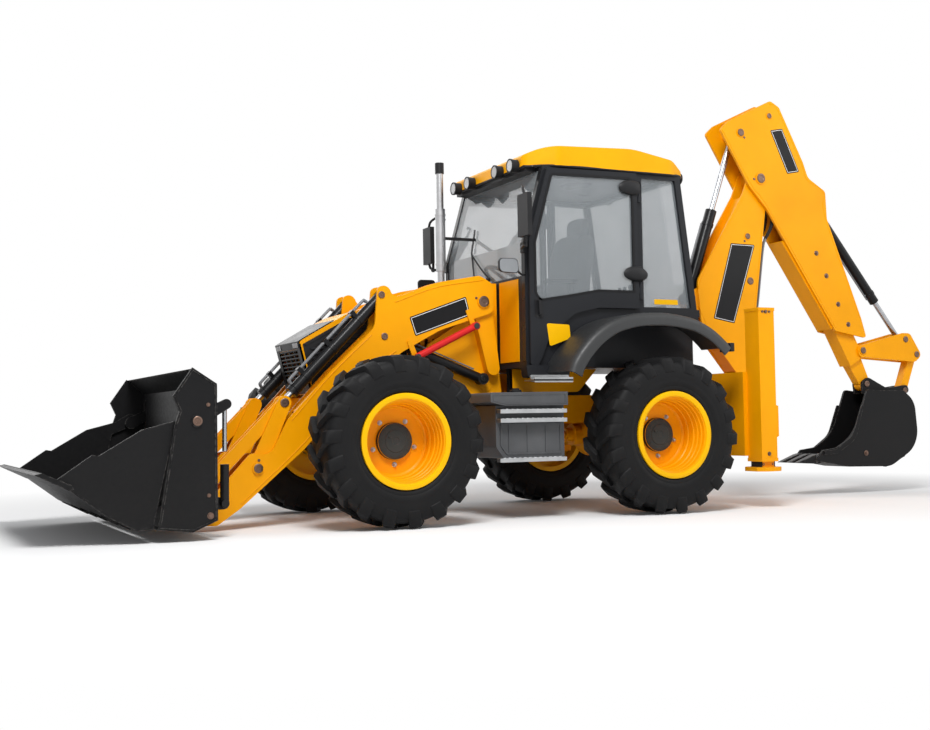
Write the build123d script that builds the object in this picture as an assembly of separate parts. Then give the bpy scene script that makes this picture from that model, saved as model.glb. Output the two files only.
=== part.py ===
from build123d import *
import math
import os

# Backhoe loader with four equal steered wheels, a clam shovel in front and an extending dipper behind.
# Millimetres, +X to the front, +Y to the left, +Z up. Sizes below are measured from the rear axle's centre
# line on the ground; the finished pieces are moved so that the origin is under the middle of the machine.
# A place written as (x, z) lies in a side view.

# Wheels and axles
WHEELBASE = 2287
TYRE_R = 625
TYRE_HALF_W = 215
WHEEL_Y = 995
RIM_R = 344
RIM_HALF_W = 200
RIM_WALL = 16
DISC_T = 22
DISC_Y = 60
HUB_R = 134
HUB_LENGTH = 88
KING_Y = 740
AXLE_R = 95
AXLE_END = 675
PIVOT_GAP = 0.5
GEARBOX_X = (960, 1380)
SHAFT_R = 36
JOINT_R = 58
STEER_DEG = 25

# Chassis and loader towers
RAIL_Y = 255
RAIL_T = 60
RAIL_TOP = 960
RAIL_H = 230
RAIL_FRONT = 2560
REAR_FRAME_X = -860
REAR_FRAME_T = 60
REAR_FRAME_HALF_W = 900
REAR_FRAME_LOW = 430
REAR_FRAME_TOP = 1130
SLIDE_RAIL_H = 90
SLIDE_RAIL_T = 50

# Loader arms: two boxes joined by a cross tube
ARM_PIVOT = (1303, 1710)
ARM_OUT_Y = 466
ARM_IN_Y = 306
ARM_PLATE = 20
ARM_TUBE = (2850, 715)
ARM_TUBE_R = 62
LIFT_BASE = (1300, 1095)
LIFT_EYE = (2152, 1424)
TILT_BASE = (2146, 1740)
LEVER_PIVOT = (3163, 443)
LEVER_TOP = (2948, 921)
BUCKET_PIVOT = (3545, 105)
LINK_END = (3545, 316)
RAM_Y = (ARM_OUT_Y - ARM_PLATE + ARM_IN_Y + ARM_PLATE) / 2
LIFT_RAM_Y = 405
TOWER_Y = 338
TOWER_T = 20
LIFT_DEG = 73
DUMP_DEG = 110

# Shovel with its clam
SHOVEL_HALF_W = 1165
SHOVEL_PLATE = 22
CLAM_PIVOT = (3778, 792)
CLAM_GAP = 6
CLAM_DEG = 70
CLAM_LEVER = (3560, 905)
CLAM_RAM_BASE = (3565, 235)

# Cab
CAB_HALF_W = 748
CAB_POST = 55
CAB_PANEL = 30
DOOR_T = 30
DOOR_GAP = 5
GLASS_T = 6
FLOOR_Z = 1215
DOOR_HINGE_X = 8
DOOR_HINGE_Y = CAB_HALF_W + DOOR_GAP + DOOR_T / 2
DOOR_HINGE_Z = (1760, 2560)

# Backhoe
SLEW_X = -1400
BOOM_FOOT = (-1535, 780)
BOOM_TIP = (-1772, 2970)
BOOM_HALF_W = 90
BOOM_PLATE = 18
BOOM_RAM_BASE = (-1690, 540)
BOOM_RAM_EYE = (-1652, 2010)
DIPPER_RAM_BASE = (-1000, 1840)
DIPPER_RAM_EYE = (-1554, 3383)
DIPPER_HALF_W = 125
DIPPER_PLATE = 25
INNER_HALF_W = 75
INNER_DEPTH = 190
INNER_LENGTH = 2010
NOSE_HALF_W = 44
TIP_PIVOT = (-2979, 1376)
TIP_RAM_EYE = (-3538, 1491)
TIP_LINK_TOP = (-3679, 1343)
TIP_LINK_END = (-3537, 987)
DIGGER_PIVOT = (-3046, 1052)
BUCKET_RAM_BASE = (-2426, 2846)
DIGGER_HALF_W = 165
DIGGER_PLATE = 20
REACH_EXTRA = 1150

# Stabilisers
LEG_X = -980
LEG_Y = 1040
LEG_DEPTH = 160
LEG_WIDTH = 180
LEG_LOW = 385
LEG_TOP = 1655
LEG_WALL = 16
PAD_HALF_X = 125
PAD_HALF_Y = 140
PAD_T = 34
PAD_Z = 305
STABILISER_DROP = 500

NODES = {}


def keep(name, shape):
    """Files a finished piece under its node's name."""
    NODES[name] = shape


def outline(corners, y):
    """A closed face in the side plane at y. Corners are (x, z) or (x, z, radius)."""
    edges = []
    count = len(corners)
    starts, ends, arcs = [], [], []
    for i in range(count):
        here = Vector(corners[i][0], y, corners[i][1])
        last = Vector(corners[i - 1][0], y, corners[i - 1][1])
        after = Vector(corners[(i + 1) % count][0], y, corners[(i + 1) % count][1])
        radius = corners[i][2] if len(corners[i]) > 2 else 0
        into, out = (last - here).normalized(), (after - here).normalized()
        if not radius:
            starts.append(here)
            ends.append(here)
            arcs.append(None)
            continue
        half = math.radians(into.get_angle(out)) / 2
        reach = radius / math.tan(half)
        centre = here + (into + out).normalized() * (radius / math.sin(half))
        starts.append(here + into * reach)
        ends.append(here + out * reach)
        arcs.append(centre + (here - centre).normalized() * radius)
    for i in range(count):
        if arcs[i] is not None:
            edges.append(Edge.make_three_point_arc(starts[i], arcs[i], ends[i]))
        begin, stop = ends[i], starts[(i + 1) % count]
        if (stop - begin).length > 0.01:
            edges.append(Edge.make_line(begin, stop))
    return Face(Wire(edges))


def plate(corners, y0, y1):
    """A flat piece with a side outline, from y0 to y1."""
    return Solid.extrude(outline(corners, y0), Vector(0, y1 - y0, 0))


def capsule(a, b, ra, rb, y0, y1):
    """A link plate: two round ends of radius ra and rb joined by their tangents."""
    start, stop = Vector(a[0], y0, a[1]), Vector(b[0], y0, b[1])
    along = (stop - start).normalized()
    across = Vector(along.Z, 0, -along.X)
    turn = math.acos((ra - rb) / (stop - start).length)

    def rim(centre, radius, side):
        return centre + (along * math.cos(turn) + across * (side * math.sin(turn))) * radius

    a1, a2 = rim(start, ra, 1), rim(start, ra, -1)
    b1, b2 = rim(stop, rb, 1), rim(stop, rb, -1)
    edges = [Edge.make_three_point_arc(a2, start - along * ra, a1), Edge.make_line(a1, b1),
             Edge.make_three_point_arc(b1, stop + along * rb, b2), Edge.make_line(b2, a2)]
    return Solid.extrude(Face(Wire(edges)), Vector(0, y1 - y0, 0))


def disc(place, radius, y0, y1):
    """A round boss, hub or pin head whose axis runs along Y."""
    return Solid.make_cylinder(radius, y1 - y0, Plane((place[0], y0, place[1]), (1, 0, 0), (0, 1, 0)))


def rod_between(a, b, radius, y, skip=0, short=0):
    """A round bar in the side plane at y from a to b, starting skip and ending short of them."""
    start, stop = Vector(a[0], y, a[1]), Vector(b[0], y, b[1])
    along = (stop - start).normalized()
    length = (stop - start).length - skip - short
    return Solid.make_cylinder(radius, length, Plane(start + along * skip, (0, 1, 0), along))


def block(x0, x1, y0, y1, z0, z1):
    """A box by its limits."""
    return Solid.make_box(x1 - x0, y1 - y0, z1 - z0, Plane((x0, y0, z0)))


def mirrored(shape):
    """The same piece on the machine's other side."""
    return shape.mirror(Plane.XZ)


def both(shape):
    """A piece and its mirror image."""
    return [shape, mirrored(shape)]


def fuse(*shapes):
    """One solid, or a compound where the pieces do not touch."""
    flat = []
    for shape in shapes:
        flat.extend(shape if isinstance(shape, (list, tuple)) else [shape])
    solids = [solid for shape in flat for solid in shape.solids()]
    if len(solids) == 1:
        return solids[0]
    joined = solids[0].fuse(*solids[1:])
    return Compound(joined.solids()) if len(joined.solids()) > 1 else joined.solids()[0]


def cut(shape, *tools):
    """The shape less the tools."""
    rest = shape.cut(*tools)
    return Compound(rest.solids()) if len(rest.solids()) > 1 else rest.solids()[0]


def distance(a, b):
    """The length between two side-view places."""
    return math.hypot(b[0] - a[0], b[1] - a[1])


def ram(base, eye, y, barrel_r, rod_r, eye_w, retract, eye_r):
    """A cylinder in two pieces: the bored barrel and the rod. It can shorten by retract from how it stands."""
    length = distance(base, eye)
    barrel_length = length - 2 * eye_r - RAM_SHOW - retract
    tube = rod_between(base, eye, barrel_r, y, eye_r * 0.6, length - barrel_length)
    bore = rod_between(base, eye, rod_r + RAM_BORE_GAP, y, eye_r + RAM_FLOOR, length - barrel_length - 1)
    barrel = cut(fuse(tube, disc(base, eye_r, y - eye_w / 2, y + eye_w / 2)), bore)
    shaft = rod_between(base, eye, rod_r, y, eye_r + RAM_FLOOR + 2 + retract, eye_r * 0.5)
    return barrel, fuse(shaft, disc(eye, eye_r, y - eye_w / 2, y + eye_w / 2))


# How much rod shows when a ram stands as in the photo, its end wall and the bore's clearance
RAM_SHOW = 60
RAM_FLOOR = 30
RAM_BORE_GAP = 0.5


def turned(corners, place):
    """A ring turned about the wheel's axle from corners (y, radius)."""
    x, y, z = place
    points = [Vector(x + r, y + across, z) for across, r in corners]
    face = Face(Wire.make_polygon(points, close=True))
    return Solid.revolve(face, 360, Axis((x, y, z), (0, 1, 0)))


# Bead seat: the rim's outside, and the flange lips that hold the tyre
RIM_SEAT_R = 318
RIM_SEAT_HALF = RIM_HALF_W - 16
TYRE_SEAT_GAP = 0.3


# Tyre lugs: two rows of bars set like arrows, each row half a pitch from the other
LUG_COUNT = 18
LUG_TURN = (0, 0, 11, 12)
LUG_COLUMNS = (-4.6, -3.2, 3.2, 4.6)
TYRE_ROWS = [(0, 590, 590), (26, 588, 625), (183, 574, 618), (214, 500, 512)]
TYRE_WALL = [(212, 420), (184, 348)]


def tyre_ring(across, radii, turns):
    """One ring of a tyre's corners: a radius and an angle in degrees for each."""
    return [(r * math.cos(math.radians(t)), across, r * math.sin(math.radians(t))) for r, t in zip(radii, turns)]


def tyre_rings(side):
    """Rings of one half of the tyre from its middle outwards, with the lugs raised."""
    pitch = 360 / LUG_COUNT
    phase = -90 - LUG_COLUMNS[1] + (0 if side > 0 else pitch / 2)
    rings = []
    for k, (across, low, high) in enumerate(TYRE_ROWS):
        radii, turns = [], []
        for i in range(LUG_COUNT):
            for j in range(4):
                even = (j - 1.5) * pitch / 4
                turns.append(phase + i * pitch + (even if k == 0 else LUG_COLUMNS[j] + LUG_TURN[k]))
                radii.append(high if j in (1, 2) else low)
        rings.append(tyre_ring(side * across, radii, turns))
    half = 2 * LUG_COUNT
    turns = [phase + LUG_TURN[-1] + (i // 2) * pitch + (LUG_COLUMNS[1] if i % 2 == 0 else LUG_COLUMNS[3] + 2.8)
             for i in range(half)]
    for across, r in TYRE_WALL + [(TYRE_WALL[-1][0], RIM_SEAT_R + TYRE_SEAT_GAP)]:
        safe = r / math.cos(math.radians(pitch / 3.3))
        rings.append(tyre_ring(side * across, [safe] * half, turns))
    return rings


def band_faces(outer, inner):
    """Three-cornered faces between two rings, with as many corners each or with half as many on the second."""
    n, m = len(outer), len(inner)
    corners = []
    for i in range(n):
        j = (i + 1) % n
        if n == m:
            corners += [(outer[i], outer[j], inner[j]), (outer[i], inner[j], inner[i])]
        elif i % 4 in (1, 3):
            k = (i - 1) // 2 % m
            corners += [(outer[i], outer[j], inner[(k + 1) % m]), (outer[i], inner[(k + 1) % m], inner[k])]
        else:
            corners.append((outer[i], outer[j], inner[i // 2]))
    return corners


def lug_tyre():
    """The tyre about the origin, all of flat faces."""
    left, right = tyre_rings(1), tyre_rings(-1)
    shift = 2
    right[0] = left[0]
    corners = []
    for rings in (left, right):
        for k in range(len(rings) - 1):
            outer = rings[k]
            if rings is right and k == 0:
                outer = outer[shift:] + outer[:shift]
            found = band_faces(outer, rings[k + 1])
            corners += found if rings is left else [(a, c, b) for a, b, c in found]
    last = len(left[-1])
    inside = right[-1][-1:] + right[-1][:-1]
    for i in range(last):
        j = (i + 1) % last
        corners += [(left[-1][i], left[-1][j], inside[j]), (left[-1][i], inside[j], inside[i])]
    faces = [Face(Wire.make_polygon([Vector(*p) for p in three], close=True)) for three in corners]
    return Solid(Shell(faces))


LUG_TYRE = lug_tyre()


def make_wheel(name, x, side):
    """A tyre and its deep dished rim with the reduction hub."""
    axle = (x, side * WHEEL_Y, TYRE_R)
    tyre = LUG_TYRE if side > 0 else LUG_TYRE.mirror(Plane.XZ)
    keep("tyre_" + name, tyre.moved(Location(axle)))
    inner_r = RIM_SEAT_R - RIM_WALL
    hub_in = KNUCKLE_END + PIVOT_GAP - WHEEL_Y
    hub_out = HUB_LENGTH + hub_in
    corners = [(-RIM_HALF_W, inner_r), (-RIM_HALF_W, RIM_R), (-RIM_SEAT_HALF, RIM_R), (-RIM_SEAT_HALF, RIM_SEAT_R),
               (RIM_SEAT_HALF, RIM_SEAT_R), (RIM_SEAT_HALF, RIM_R), (RIM_HALF_W, RIM_R), (RIM_HALF_W, inner_r),
               (-DISC_Y, inner_r), (-DISC_Y, HUB_R), (hub_out, HUB_R), (hub_out + 12, HUB_R - 22),
               (hub_out + 12, 0), (hub_in, 0), (hub_in, HUB_R), (-DISC_Y - DISC_T, HUB_R),
               (-DISC_Y - DISC_T, inner_r)]
    keep("rim_" + name, turned([(side * y, r) for y, r in corners], axle))


# Steering knuckle: a post between the axle's two lugs, and the round housing behind the hub
KNUCKLE_END = 884
KNUCKLE_R = 112
POST_R = 68
LUG_IN = 118
LUG_T = 34
LUG_HALF_X = 78


def make_knuckle(name, x, side):
    """A steering knuckle that turns about an upright pin."""
    post = Solid.make_cylinder(POST_R, 2 * LUG_IN - 2 * PIVOT_GAP,
                               Plane((x, side * KING_Y, TYRE_R - LUG_IN + PIVOT_GAP)))
    housing = disc((x, TYRE_R), KNUCKLE_R, KING_Y, KNUCKLE_END)
    housing = housing if side > 0 else mirrored(housing)
    keep("knuckle_" + name, fuse(post, housing))


def make_axle(name, x, saddle_top):
    """A driven axle: beam, centre gear housing, the lugs at its ends and the saddles under the rails."""
    beam = disc((x, TYRE_R), AXLE_R, -AXLE_END + 40, AXLE_END - 40)
    gears = turned([(-170, 0), (-170, 120), (-90, 185), (90, 185), (170, 120), (170, 0)], (x, 0, TYRE_R))
    nose = Solid.make_cylinder(92, 250, Plane((x, 0, TYRE_R), (0, 1, 0), (1 if x < WHEELBASE / 2 else -1, 0, 0)))
    pieces = [beam, gears, nose]
    for side in (1, -1):
        for up in (1, -1):
            z = TYRE_R + up * (LUG_IN + LUG_T / 2)
            lug = block(x - LUG_HALF_X, x + LUG_HALF_X, 560, KING_Y + 60, z - LUG_T / 2, z + LUG_T / 2)
            pieces.append(lug if side > 0 else mirrored(lug))
        stem = block(x - LUG_HALF_X, x + LUG_HALF_X, 560, AXLE_END - 25, TYRE_R - LUG_IN - 1, TYRE_R + LUG_IN + 1)
        pieces.append(stem if side > 0 else mirrored(stem))
        saddle = block(x - 90, x + 90, RAIL_Y - RAIL_T / 2, RAIL_Y + RAIL_T / 2, TYRE_R, saddle_top)
        pieces.append(saddle if side > 0 else mirrored(saddle))
    reach = sorted((x + (240 if x < WHEELBASE / 2 else -240), GEARBOX_X[0 if x < WHEELBASE / 2 else 1] + (
        40 - PIVOT_GAP if x < WHEELBASE / 2 else PIVOT_GAP - 60)))
    shaft = Solid.make_cylinder(SHAFT_R, reach[1] - reach[0], Plane((reach[0], 0, TYRE_R), (0, 1, 0), (1, 0, 0)))
    pieces.append(shaft)
    for end in (reach[0] + (10 if x < WHEELBASE / 2 else 0), reach[1] - (60 if x < WHEELBASE / 2 else 70)):
        pieces.append(Solid.make_cylinder(JOINT_R, 60, Plane((end, 0, TYRE_R), (0, 1, 0), (1, 0, 0))))
    keep(name, fuse(*pieces))


def make_chassis():
    """Ladder frame with the loader towers, the cowl in front of the cab and the backhoe's rear frame."""
    low = RAIL_TOP - RAIL_H
    pieces = []
    rail = block(REAR_FRAME_X, RAIL_FRONT, RAIL_Y - RAIL_T / 2, RAIL_Y + RAIL_T / 2, low, RAIL_TOP)
    pieces += both(rail)
    for x in (REAR_FRAME_X + 40, 480, 1150, RAIL_FRONT - 90):
        pieces.append(block(x, x + 90, -RAIL_Y, RAIL_Y, low + 105, RAIL_TOP))
    pieces.append(block(RAIL_FRONT - 60, RAIL_FRONT + 110, -285, 285, low - 40, RAIL_TOP + 5))
    tower = plate([(1100, low), (1100, 1000), (1195, 1800, 60), (1400, 1800, 80), (1440, 1560), (1760, 1360, 60),
                   (1760, low)], TOWER_Y, TOWER_Y + TOWER_T)
    post = capsule(ARM_PIVOT, (1205, 1180), 88, 55, TOWER_Y + TOWER_T - 1, ARM_OUT_Y - ARM_PLATE - 12)
    knuckle = disc(ARM_PIVOT, 70, ARM_IN_Y + ARM_PLATE + PIVOT_GAP, ARM_OUT_Y - ARM_PLATE - PIVOT_GAP)
    foot = capsule(LIFT_BASE, (LIFT_BASE[0] - 60, LIFT_BASE[1] - 50), 52, 50, TOWER_Y + TOWER_T - 1,
                   LIFT_RAM_Y - LIFT_EYE_W / 2 - PIVOT_GAP)
    tie = block(1150, 1700, RAIL_Y, TOWER_Y + TOWER_T / 2, low, low + 110)
    for side_piece in (tower, post, knuckle, foot, tie):
        pieces += both(side_piece)
    pieces.append(block(COWL_REAR, COWL_FRONT, -COWL_HALF_W, COWL_HALF_W, RAIL_TOP - 20, COWL_TOP))
    for y in (120, -220):
        pieces.append(disc(BONNET_HINGE, 11.5, y, y + 100))
        pieces.append(block(1415, BONNET_HINGE[0], y, y + 100, COWL_TOP - 1, BONNET_HINGE[1]))
    rear = block(REAR_FRAME_X - REAR_FRAME_T, REAR_FRAME_X, -REAR_FRAME_HALF_W, REAR_FRAME_HALF_W,
                 REAR_FRAME_LOW, REAR_FRAME_TOP)
    gap = block(REAR_FRAME_X - REAR_FRAME_T - 5, REAR_FRAME_X + 5, -210, 210, REAR_FRAME_LOW + SLIDE_RAIL_H,
                REAR_FRAME_TOP - SLIDE_RAIL_H)
    pieces.append(cut(rear, gap))
    for z in (REAR_FRAME_LOW, REAR_FRAME_TOP - SLIDE_RAIL_H):
        pieces.append(block(REAR_FRAME_X - REAR_FRAME_T - SLIDE_RAIL_T, REAR_FRAME_X - REAR_FRAME_T + 1,
                            -REAR_FRAME_HALF_W, REAR_FRAME_HALF_W, z, z + SLIDE_RAIL_H))
    for side in (1, -1):
        sleeve = cut(block(LEG_X - LEG_DEPTH / 2, LEG_X + LEG_DEPTH / 2, LEG_Y - LEG_WIDTH / 2,
                           LEG_Y + LEG_WIDTH / 2, LEG_LOW, LEG_TOP),
                     block(LEG_X - LEG_DEPTH / 2 + LEG_WALL, LEG_X + LEG_DEPTH / 2 - LEG_WALL,
                           LEG_Y - LEG_WIDTH / 2 + LEG_WALL, LEG_Y + LEG_WIDTH / 2 - LEG_WALL,
                           LEG_LOW - 1, LEG_TOP + 1))
        bridge = block(REAR_FRAME_X - REAR_FRAME_T, REAR_FRAME_X, REAR_FRAME_HALF_W - 1,
                       LEG_Y - LEG_WIDTH / 2 + LEG_WALL / 2, REAR_FRAME_LOW, REAR_FRAME_TOP)
        for piece in (sleeve, bridge):
            pieces.append(piece if side > 0 else mirrored(piece))
    keep("chassis_frame", fuse(*pieces))


COWL_REAR = 1092
COWL_FRONT = 1435
COWL_HALF_W = 286
COWL_TOP = 1880


def make_engine():
    """The engine's plain heavy block on its real place between the rails."""
    inside = RAIL_Y - RAIL_T / 2 - 0.3
    engine = block(1480, 2380, -inside, inside, 830, 1360)
    gearbox = block(*GEARBOX_X, -inside, inside, 690, RAIL_TOP - RAIL_H + 105 - PIVOT_GAP)
    drop = block(GEARBOX_X[0] + 40, GEARBOX_X[1] - 60, -130, 130, TYRE_R - 90, 700)
    keep("engine_block", Compound(list(engine.solids()) + list(fuse(gearbox, drop).solids())))


def arm_side_outline():
    """The side shape of both plates of a loader arm."""
    return [(1215, 1625, 60), (1205, 1850, 70), (1330, 1918, 60), (1707, 1851, 400), (2085, 1712, 60),
            (2110, 1830, 60), (2205, 1800, 40), (2232, 1490, 120), (2598, 1147), (2935, 790, 120), (3065, 540, 80),
            (3215, 555, 60), (3451, 300, 60), (3600, 190, 50), (3612, 45, 55), (3470, 38, 40), (3298, 153, 200),
            (2805, 575, 200), (2400, 1010, 300), (2009, 1302, 200), (1684, 1477, 500)]


def make_arms():
    """Both loader arms as box sections, with the cross tube that joins them."""
    pieces = []
    side = arm_side_outline()
    pieces.append(plate(side, ARM_OUT_Y - ARM_PLATE, ARM_OUT_Y))
    pieces.append(plate(side, ARM_IN_Y, ARM_IN_Y + ARM_PLATE))
    span = (ARM_IN_Y + ARM_PLATE - 1, ARM_OUT_Y - ARM_PLATE + 1)
    for a, b in ARM_WEBS:
        pieces.append(web(a, b, ARM_WEB_T, *span))
    pieces.append(disc(ARM_PIVOT, 52, ARM_OUT_Y - 1, ARM_OUT_Y + 14))
    pieces.append(disc(LEVER_PIVOT, 44, ARM_OUT_Y - 1, ARM_OUT_Y + 14))
    arm = fuse(*pieces)
    tube = disc(ARM_TUBE, ARM_TUBE_R, -ARM_IN_Y - 1, ARM_IN_Y + 1)
    keep("loader_arms", fuse(arm, mirrored(arm), tube))
    strut = rod_between(STRUT_REAR, STRUT_FRONT, STRUT_R, STRUT_Y)
    ends = [disc(place, STRUT_R + 4, STRUT_Y - STRUT_R, STRUT_Y + STRUT_R) for place in (STRUT_REAR, STRUT_FRONT)]
    hangers = [capsule(place, (place[0] + 45, place[1] + 115), 20, 18, ARM_OUT_Y + PIVOT_GAP, ARM_OUT_Y + 9)
               for place in (STRUT_REAR, STRUT_FRONT)]
    strut = fuse(strut, *ends, *hangers)
    keep("safety_struts", Compound([strut, mirrored(strut)]))


# Cover plates between an arm's two sides, from place to place, clear of the rams and levers
ARM_WEB_T = 16
ARM_WEBS = [((1520, 1872), (2060, 1712)), ((2290, 1410), (2850, 850)), ((2330, 1105), (2795, 600)),
            ((2815, 583), (3270, 185))]
STRUT_REAR = (1393, 1510)
STRUT_FRONT = (1901, 1262)
STRUT_R = 27
STRUT_Y = ARM_OUT_Y + 9 + STRUT_R


def web(a, b, thick, y0, y1):
    """A flat cover plate whose edge runs from a to b."""
    along = Vector(b[0] - a[0], 0, b[1] - a[1]).normalized()
    across = Vector(-along.Z, 0, along.X) * (thick / 2)
    start, stop = Vector(a[0], y0, a[1]), Vector(b[0], y0, b[1])
    face = Face(Wire.make_polygon([start - across, stop - across, stop + across, start + across], close=True))
    return Solid.extrude(face, Vector(0, y1 - y0, 0))


# Linkage bands across an arm: how far each plate lies from the arm's middle plane
LEVER_BAND = (41, 58)
LINK_BAND = (27.5, 39.5)
TILT_EYE_W = 53
LIFT_EYE_W = 81


def bands(shape_at, band, middle):
    """A pair of plates, one each side of the middle plane. shape_at(y0, y1) makes one."""
    return [shape_at(middle + band[0], middle + band[1]), shape_at(middle - band[1], middle - band[0])]


def pair_node(name, shape):
    """A piece of the left arm and its twin on the right arm, in one node."""
    twin = mirrored(shape)
    keep(name, Compound(list(shape.solids()) + list(twin.solids())))


def make_loader_linkage():
    """Lift rams, tilt rams, levers and links of both arms."""
    barrel, rod = ram(LIFT_BASE, LIFT_EYE, LIFT_RAM_Y, 39, 24, LIFT_EYE_W, 0, 46)
    pair_node("lift_barrels", barrel)
    pair_node("lift_rods", rod)
    barrel, rod = ram(TILT_BASE, LEVER_TOP, RAM_Y, 46, 26, TILT_EYE_W, 0, 40)
    base = disc(TILT_BASE, 40, ARM_IN_Y + ARM_PLATE + PIVOT_GAP, ARM_OUT_Y - ARM_PLATE - PIVOT_GAP)
    pair_node("tilt_barrels", fuse(barrel, base))
    pair_node("tilt_rods", rod)
    arms = bands(lambda y0, y1: capsule(LEVER_PIVOT, LEVER_TOP, 62, 52, y0, y1), LEVER_BAND, RAM_Y)
    hub = disc(LEVER_PIVOT, 48, ARM_IN_Y + ARM_PLATE + PIVOT_GAP, ARM_OUT_Y - ARM_PLATE - PIVOT_GAP)
    pair_node("tilt_levers", fuse(arms, hub))
    links = bands(lambda y0, y1: capsule(LEVER_TOP, LINK_END, 46, 46, y0, y1), LINK_BAND, RAM_Y)
    start = (LEVER_TOP[0] + (LINK_END[0] - LEVER_TOP[0]) * 0.3, LEVER_TOP[1] + (LINK_END[1] - LEVER_TOP[1]) * 0.3)
    stop = (LEVER_TOP[0] + (LINK_END[0] - LEVER_TOP[0]) * 0.8, LEVER_TOP[1] + (LINK_END[1] - LEVER_TOP[1]) * 0.8)
    tie = web(start, stop, 40, RAM_Y - LINK_BAND[0] - 1, RAM_Y + LINK_BAND[0] + 1)
    end_hub = disc(LINK_END, 40, RAM_Y - EAR_IN + PIVOT_GAP, RAM_Y + EAR_IN - PIVOT_GAP)
    pair_node("tilt_links", fuse(links, tie, end_hub))


# Ears on the shovel's back, as distances from each arm's middle plane
EAR_IN = 41
EAR_T = 18
HINGE_EAR_IN = 80.5
SHOVEL_BACK_X = 3640


def shovel_back_outline(shrink):
    """The side shape of the shovel's fixed back part; shrink moves it in by a plate's thickness."""
    s = shrink
    return [(3803 - s * 0.4, 1148 - s * 1.4), (SHOVEL_BACK_X + s, 1040 - s * 0.6), (SHOVEL_BACK_X + s, 132 + s * 0.7),
            (3806, 62 + s), (4040, 88 + s), (4024, 152), (3926, 762), (3892, 859), (3936 - s, 957)]


def make_shovel():
    """The shovel's fixed back and its hinged clam with floor and cutting edge."""
    w, t = SHOVEL_HALF_W, SHOVEL_PLATE
    back = cut(plate(shovel_back_outline(0), -w, w), plate(
        [(3826, 1170), (SHOVEL_BACK_X + t, 1026), (SHOVEL_BACK_X + t, 148), (3808, 62 + t), (4060, 92 + t),
         (4200, 400), (4060, 1170)], -w + t, w - t))
    pieces = [back]
    for side in (1, -1):
        for offset in (1, -1):
            y = ARM_MID + offset * (HINGE_EAR_IN + EAR_T / 2)
            ear = plate([(BUCKET_PIVOT[0] - 62, BUCKET_PIVOT[1] + 20, 50), (BUCKET_PIVOT[0] - 40, 48, 40),
                         (3700, 100), (3700, 118), (SHOVEL_BACK_X + 8, 260), (BUCKET_PIVOT[0] - 40, 190, 50)],
                        y - EAR_T / 2, y + EAR_T / 2)
            inner = ARM_MID + offset * (EAR_IN + EAR_T / 2)
            link_ear = plate([(LINK_END[0] - 56, LINK_END[1] + 40, 40), (LINK_END[0] - 56, LINK_END[1] - 50, 40),
                              (SHOVEL_BACK_X + 8, 200), (SHOVEL_BACK_X + 8, 470)], inner - EAR_T / 2, inner + EAR_T / 2)
            reach = sorted((y + offset * (EAR_T / 2 - 1), y + offset * (EAR_T / 2 + 8)))
            head = disc(BUCKET_PIVOT, 34, *reach)
            for piece in (ear, link_ear, head):
                pieces.append(piece if side > 0 else mirrored(piece))
        ram_ear_y = CLAM_RAM_Y - CLAM_EYE_W / 2 - PIVOT_GAP - 14
        ram_ear = capsule(CLAM_RAM_BASE, (SHOVEL_BACK_X + 20, CLAM_RAM_BASE[1]), 42, 41, ram_ear_y, ram_ear_y + 14)
        pieces.append(ram_ear if side > 0 else mirrored(ram_ear))
        boss = disc(CLAM_PIVOT, 36, w - 1, w + 12)
        pieces.append(boss if side > 0 else mirrored(boss))
    shell = fuse(*pieces)
    slots = [block(SHOVEL_BACK_X - 5, SHOVEL_BACK_X + t + 5, CLAM_LEVER_Y - 16, CLAM_LEVER_Y + 16, 560, 975)]
    slots.append(mirrored(slots[0]))
    keep("loader_bucket", cut(shell, *slots))
    inside = w - t - CLAM_GAP
    side_shape = [(CLAM_PIVOT[0] - 75, 792, 40), (CLAM_PIVOT[0] - 10, 880, 40), (3900, 800), (4130, 741, 40),
                  (4403, 580), (4444, 587), (4662, 437), (4587, 380), (4343, 198), (4166, 93), (4060, 110),
                  (3930, 700)]
    pieces = both(plate(side_shape, inside - t, inside))
    floor = plate([(4055, 92), (4166, 88), (4352, 186), (4592, 370), (4600, 402), (4570, 392), (4335, 218),
                   (4160, 118), (4055, 120)], -inside + 1, inside - 1)
    lip = plate([(4560, 372), (4592, 366), (4800, 470), (4755, 482), (4575, 398)], -w, w)
    pieces += [floor, lip]
    lever_y = CLAM_LEVER_Y
    lever = capsule(CLAM_PIVOT, CLAM_LEVER, 48, 34, lever_y - 9, lever_y + 9)
    stay = disc(CLAM_PIVOT, 44, lever_y - 9, inside - t + 1)
    stub = disc(CLAM_LEVER, 16, CLAM_RAM_Y + CLAM_EYE_W / 2 + PIVOT_GAP, lever_y)
    seat = disc(CLAM_PIVOT, 34, inside - 1, w - t - PIVOT_GAP)
    pieces += both(lever) + both(stay) + both(stub) + both(seat)
    keep("bucket_clam", fuse(*pieces))
    barrel, rod = ram(CLAM_RAM_BASE, CLAM_LEVER, CLAM_RAM_Y, 30, 16, CLAM_EYE_W, 294, 26)
    pair_node("clam_barrels", barrel)
    pair_node("clam_rods", rod)


ARM_MID = (ARM_IN_Y + ARM_OUT_Y) / 2
CLAM_EYE_W = 62
CLAM_RAM_Y = 1048
CLAM_LEVER_Y = 1095


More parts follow.
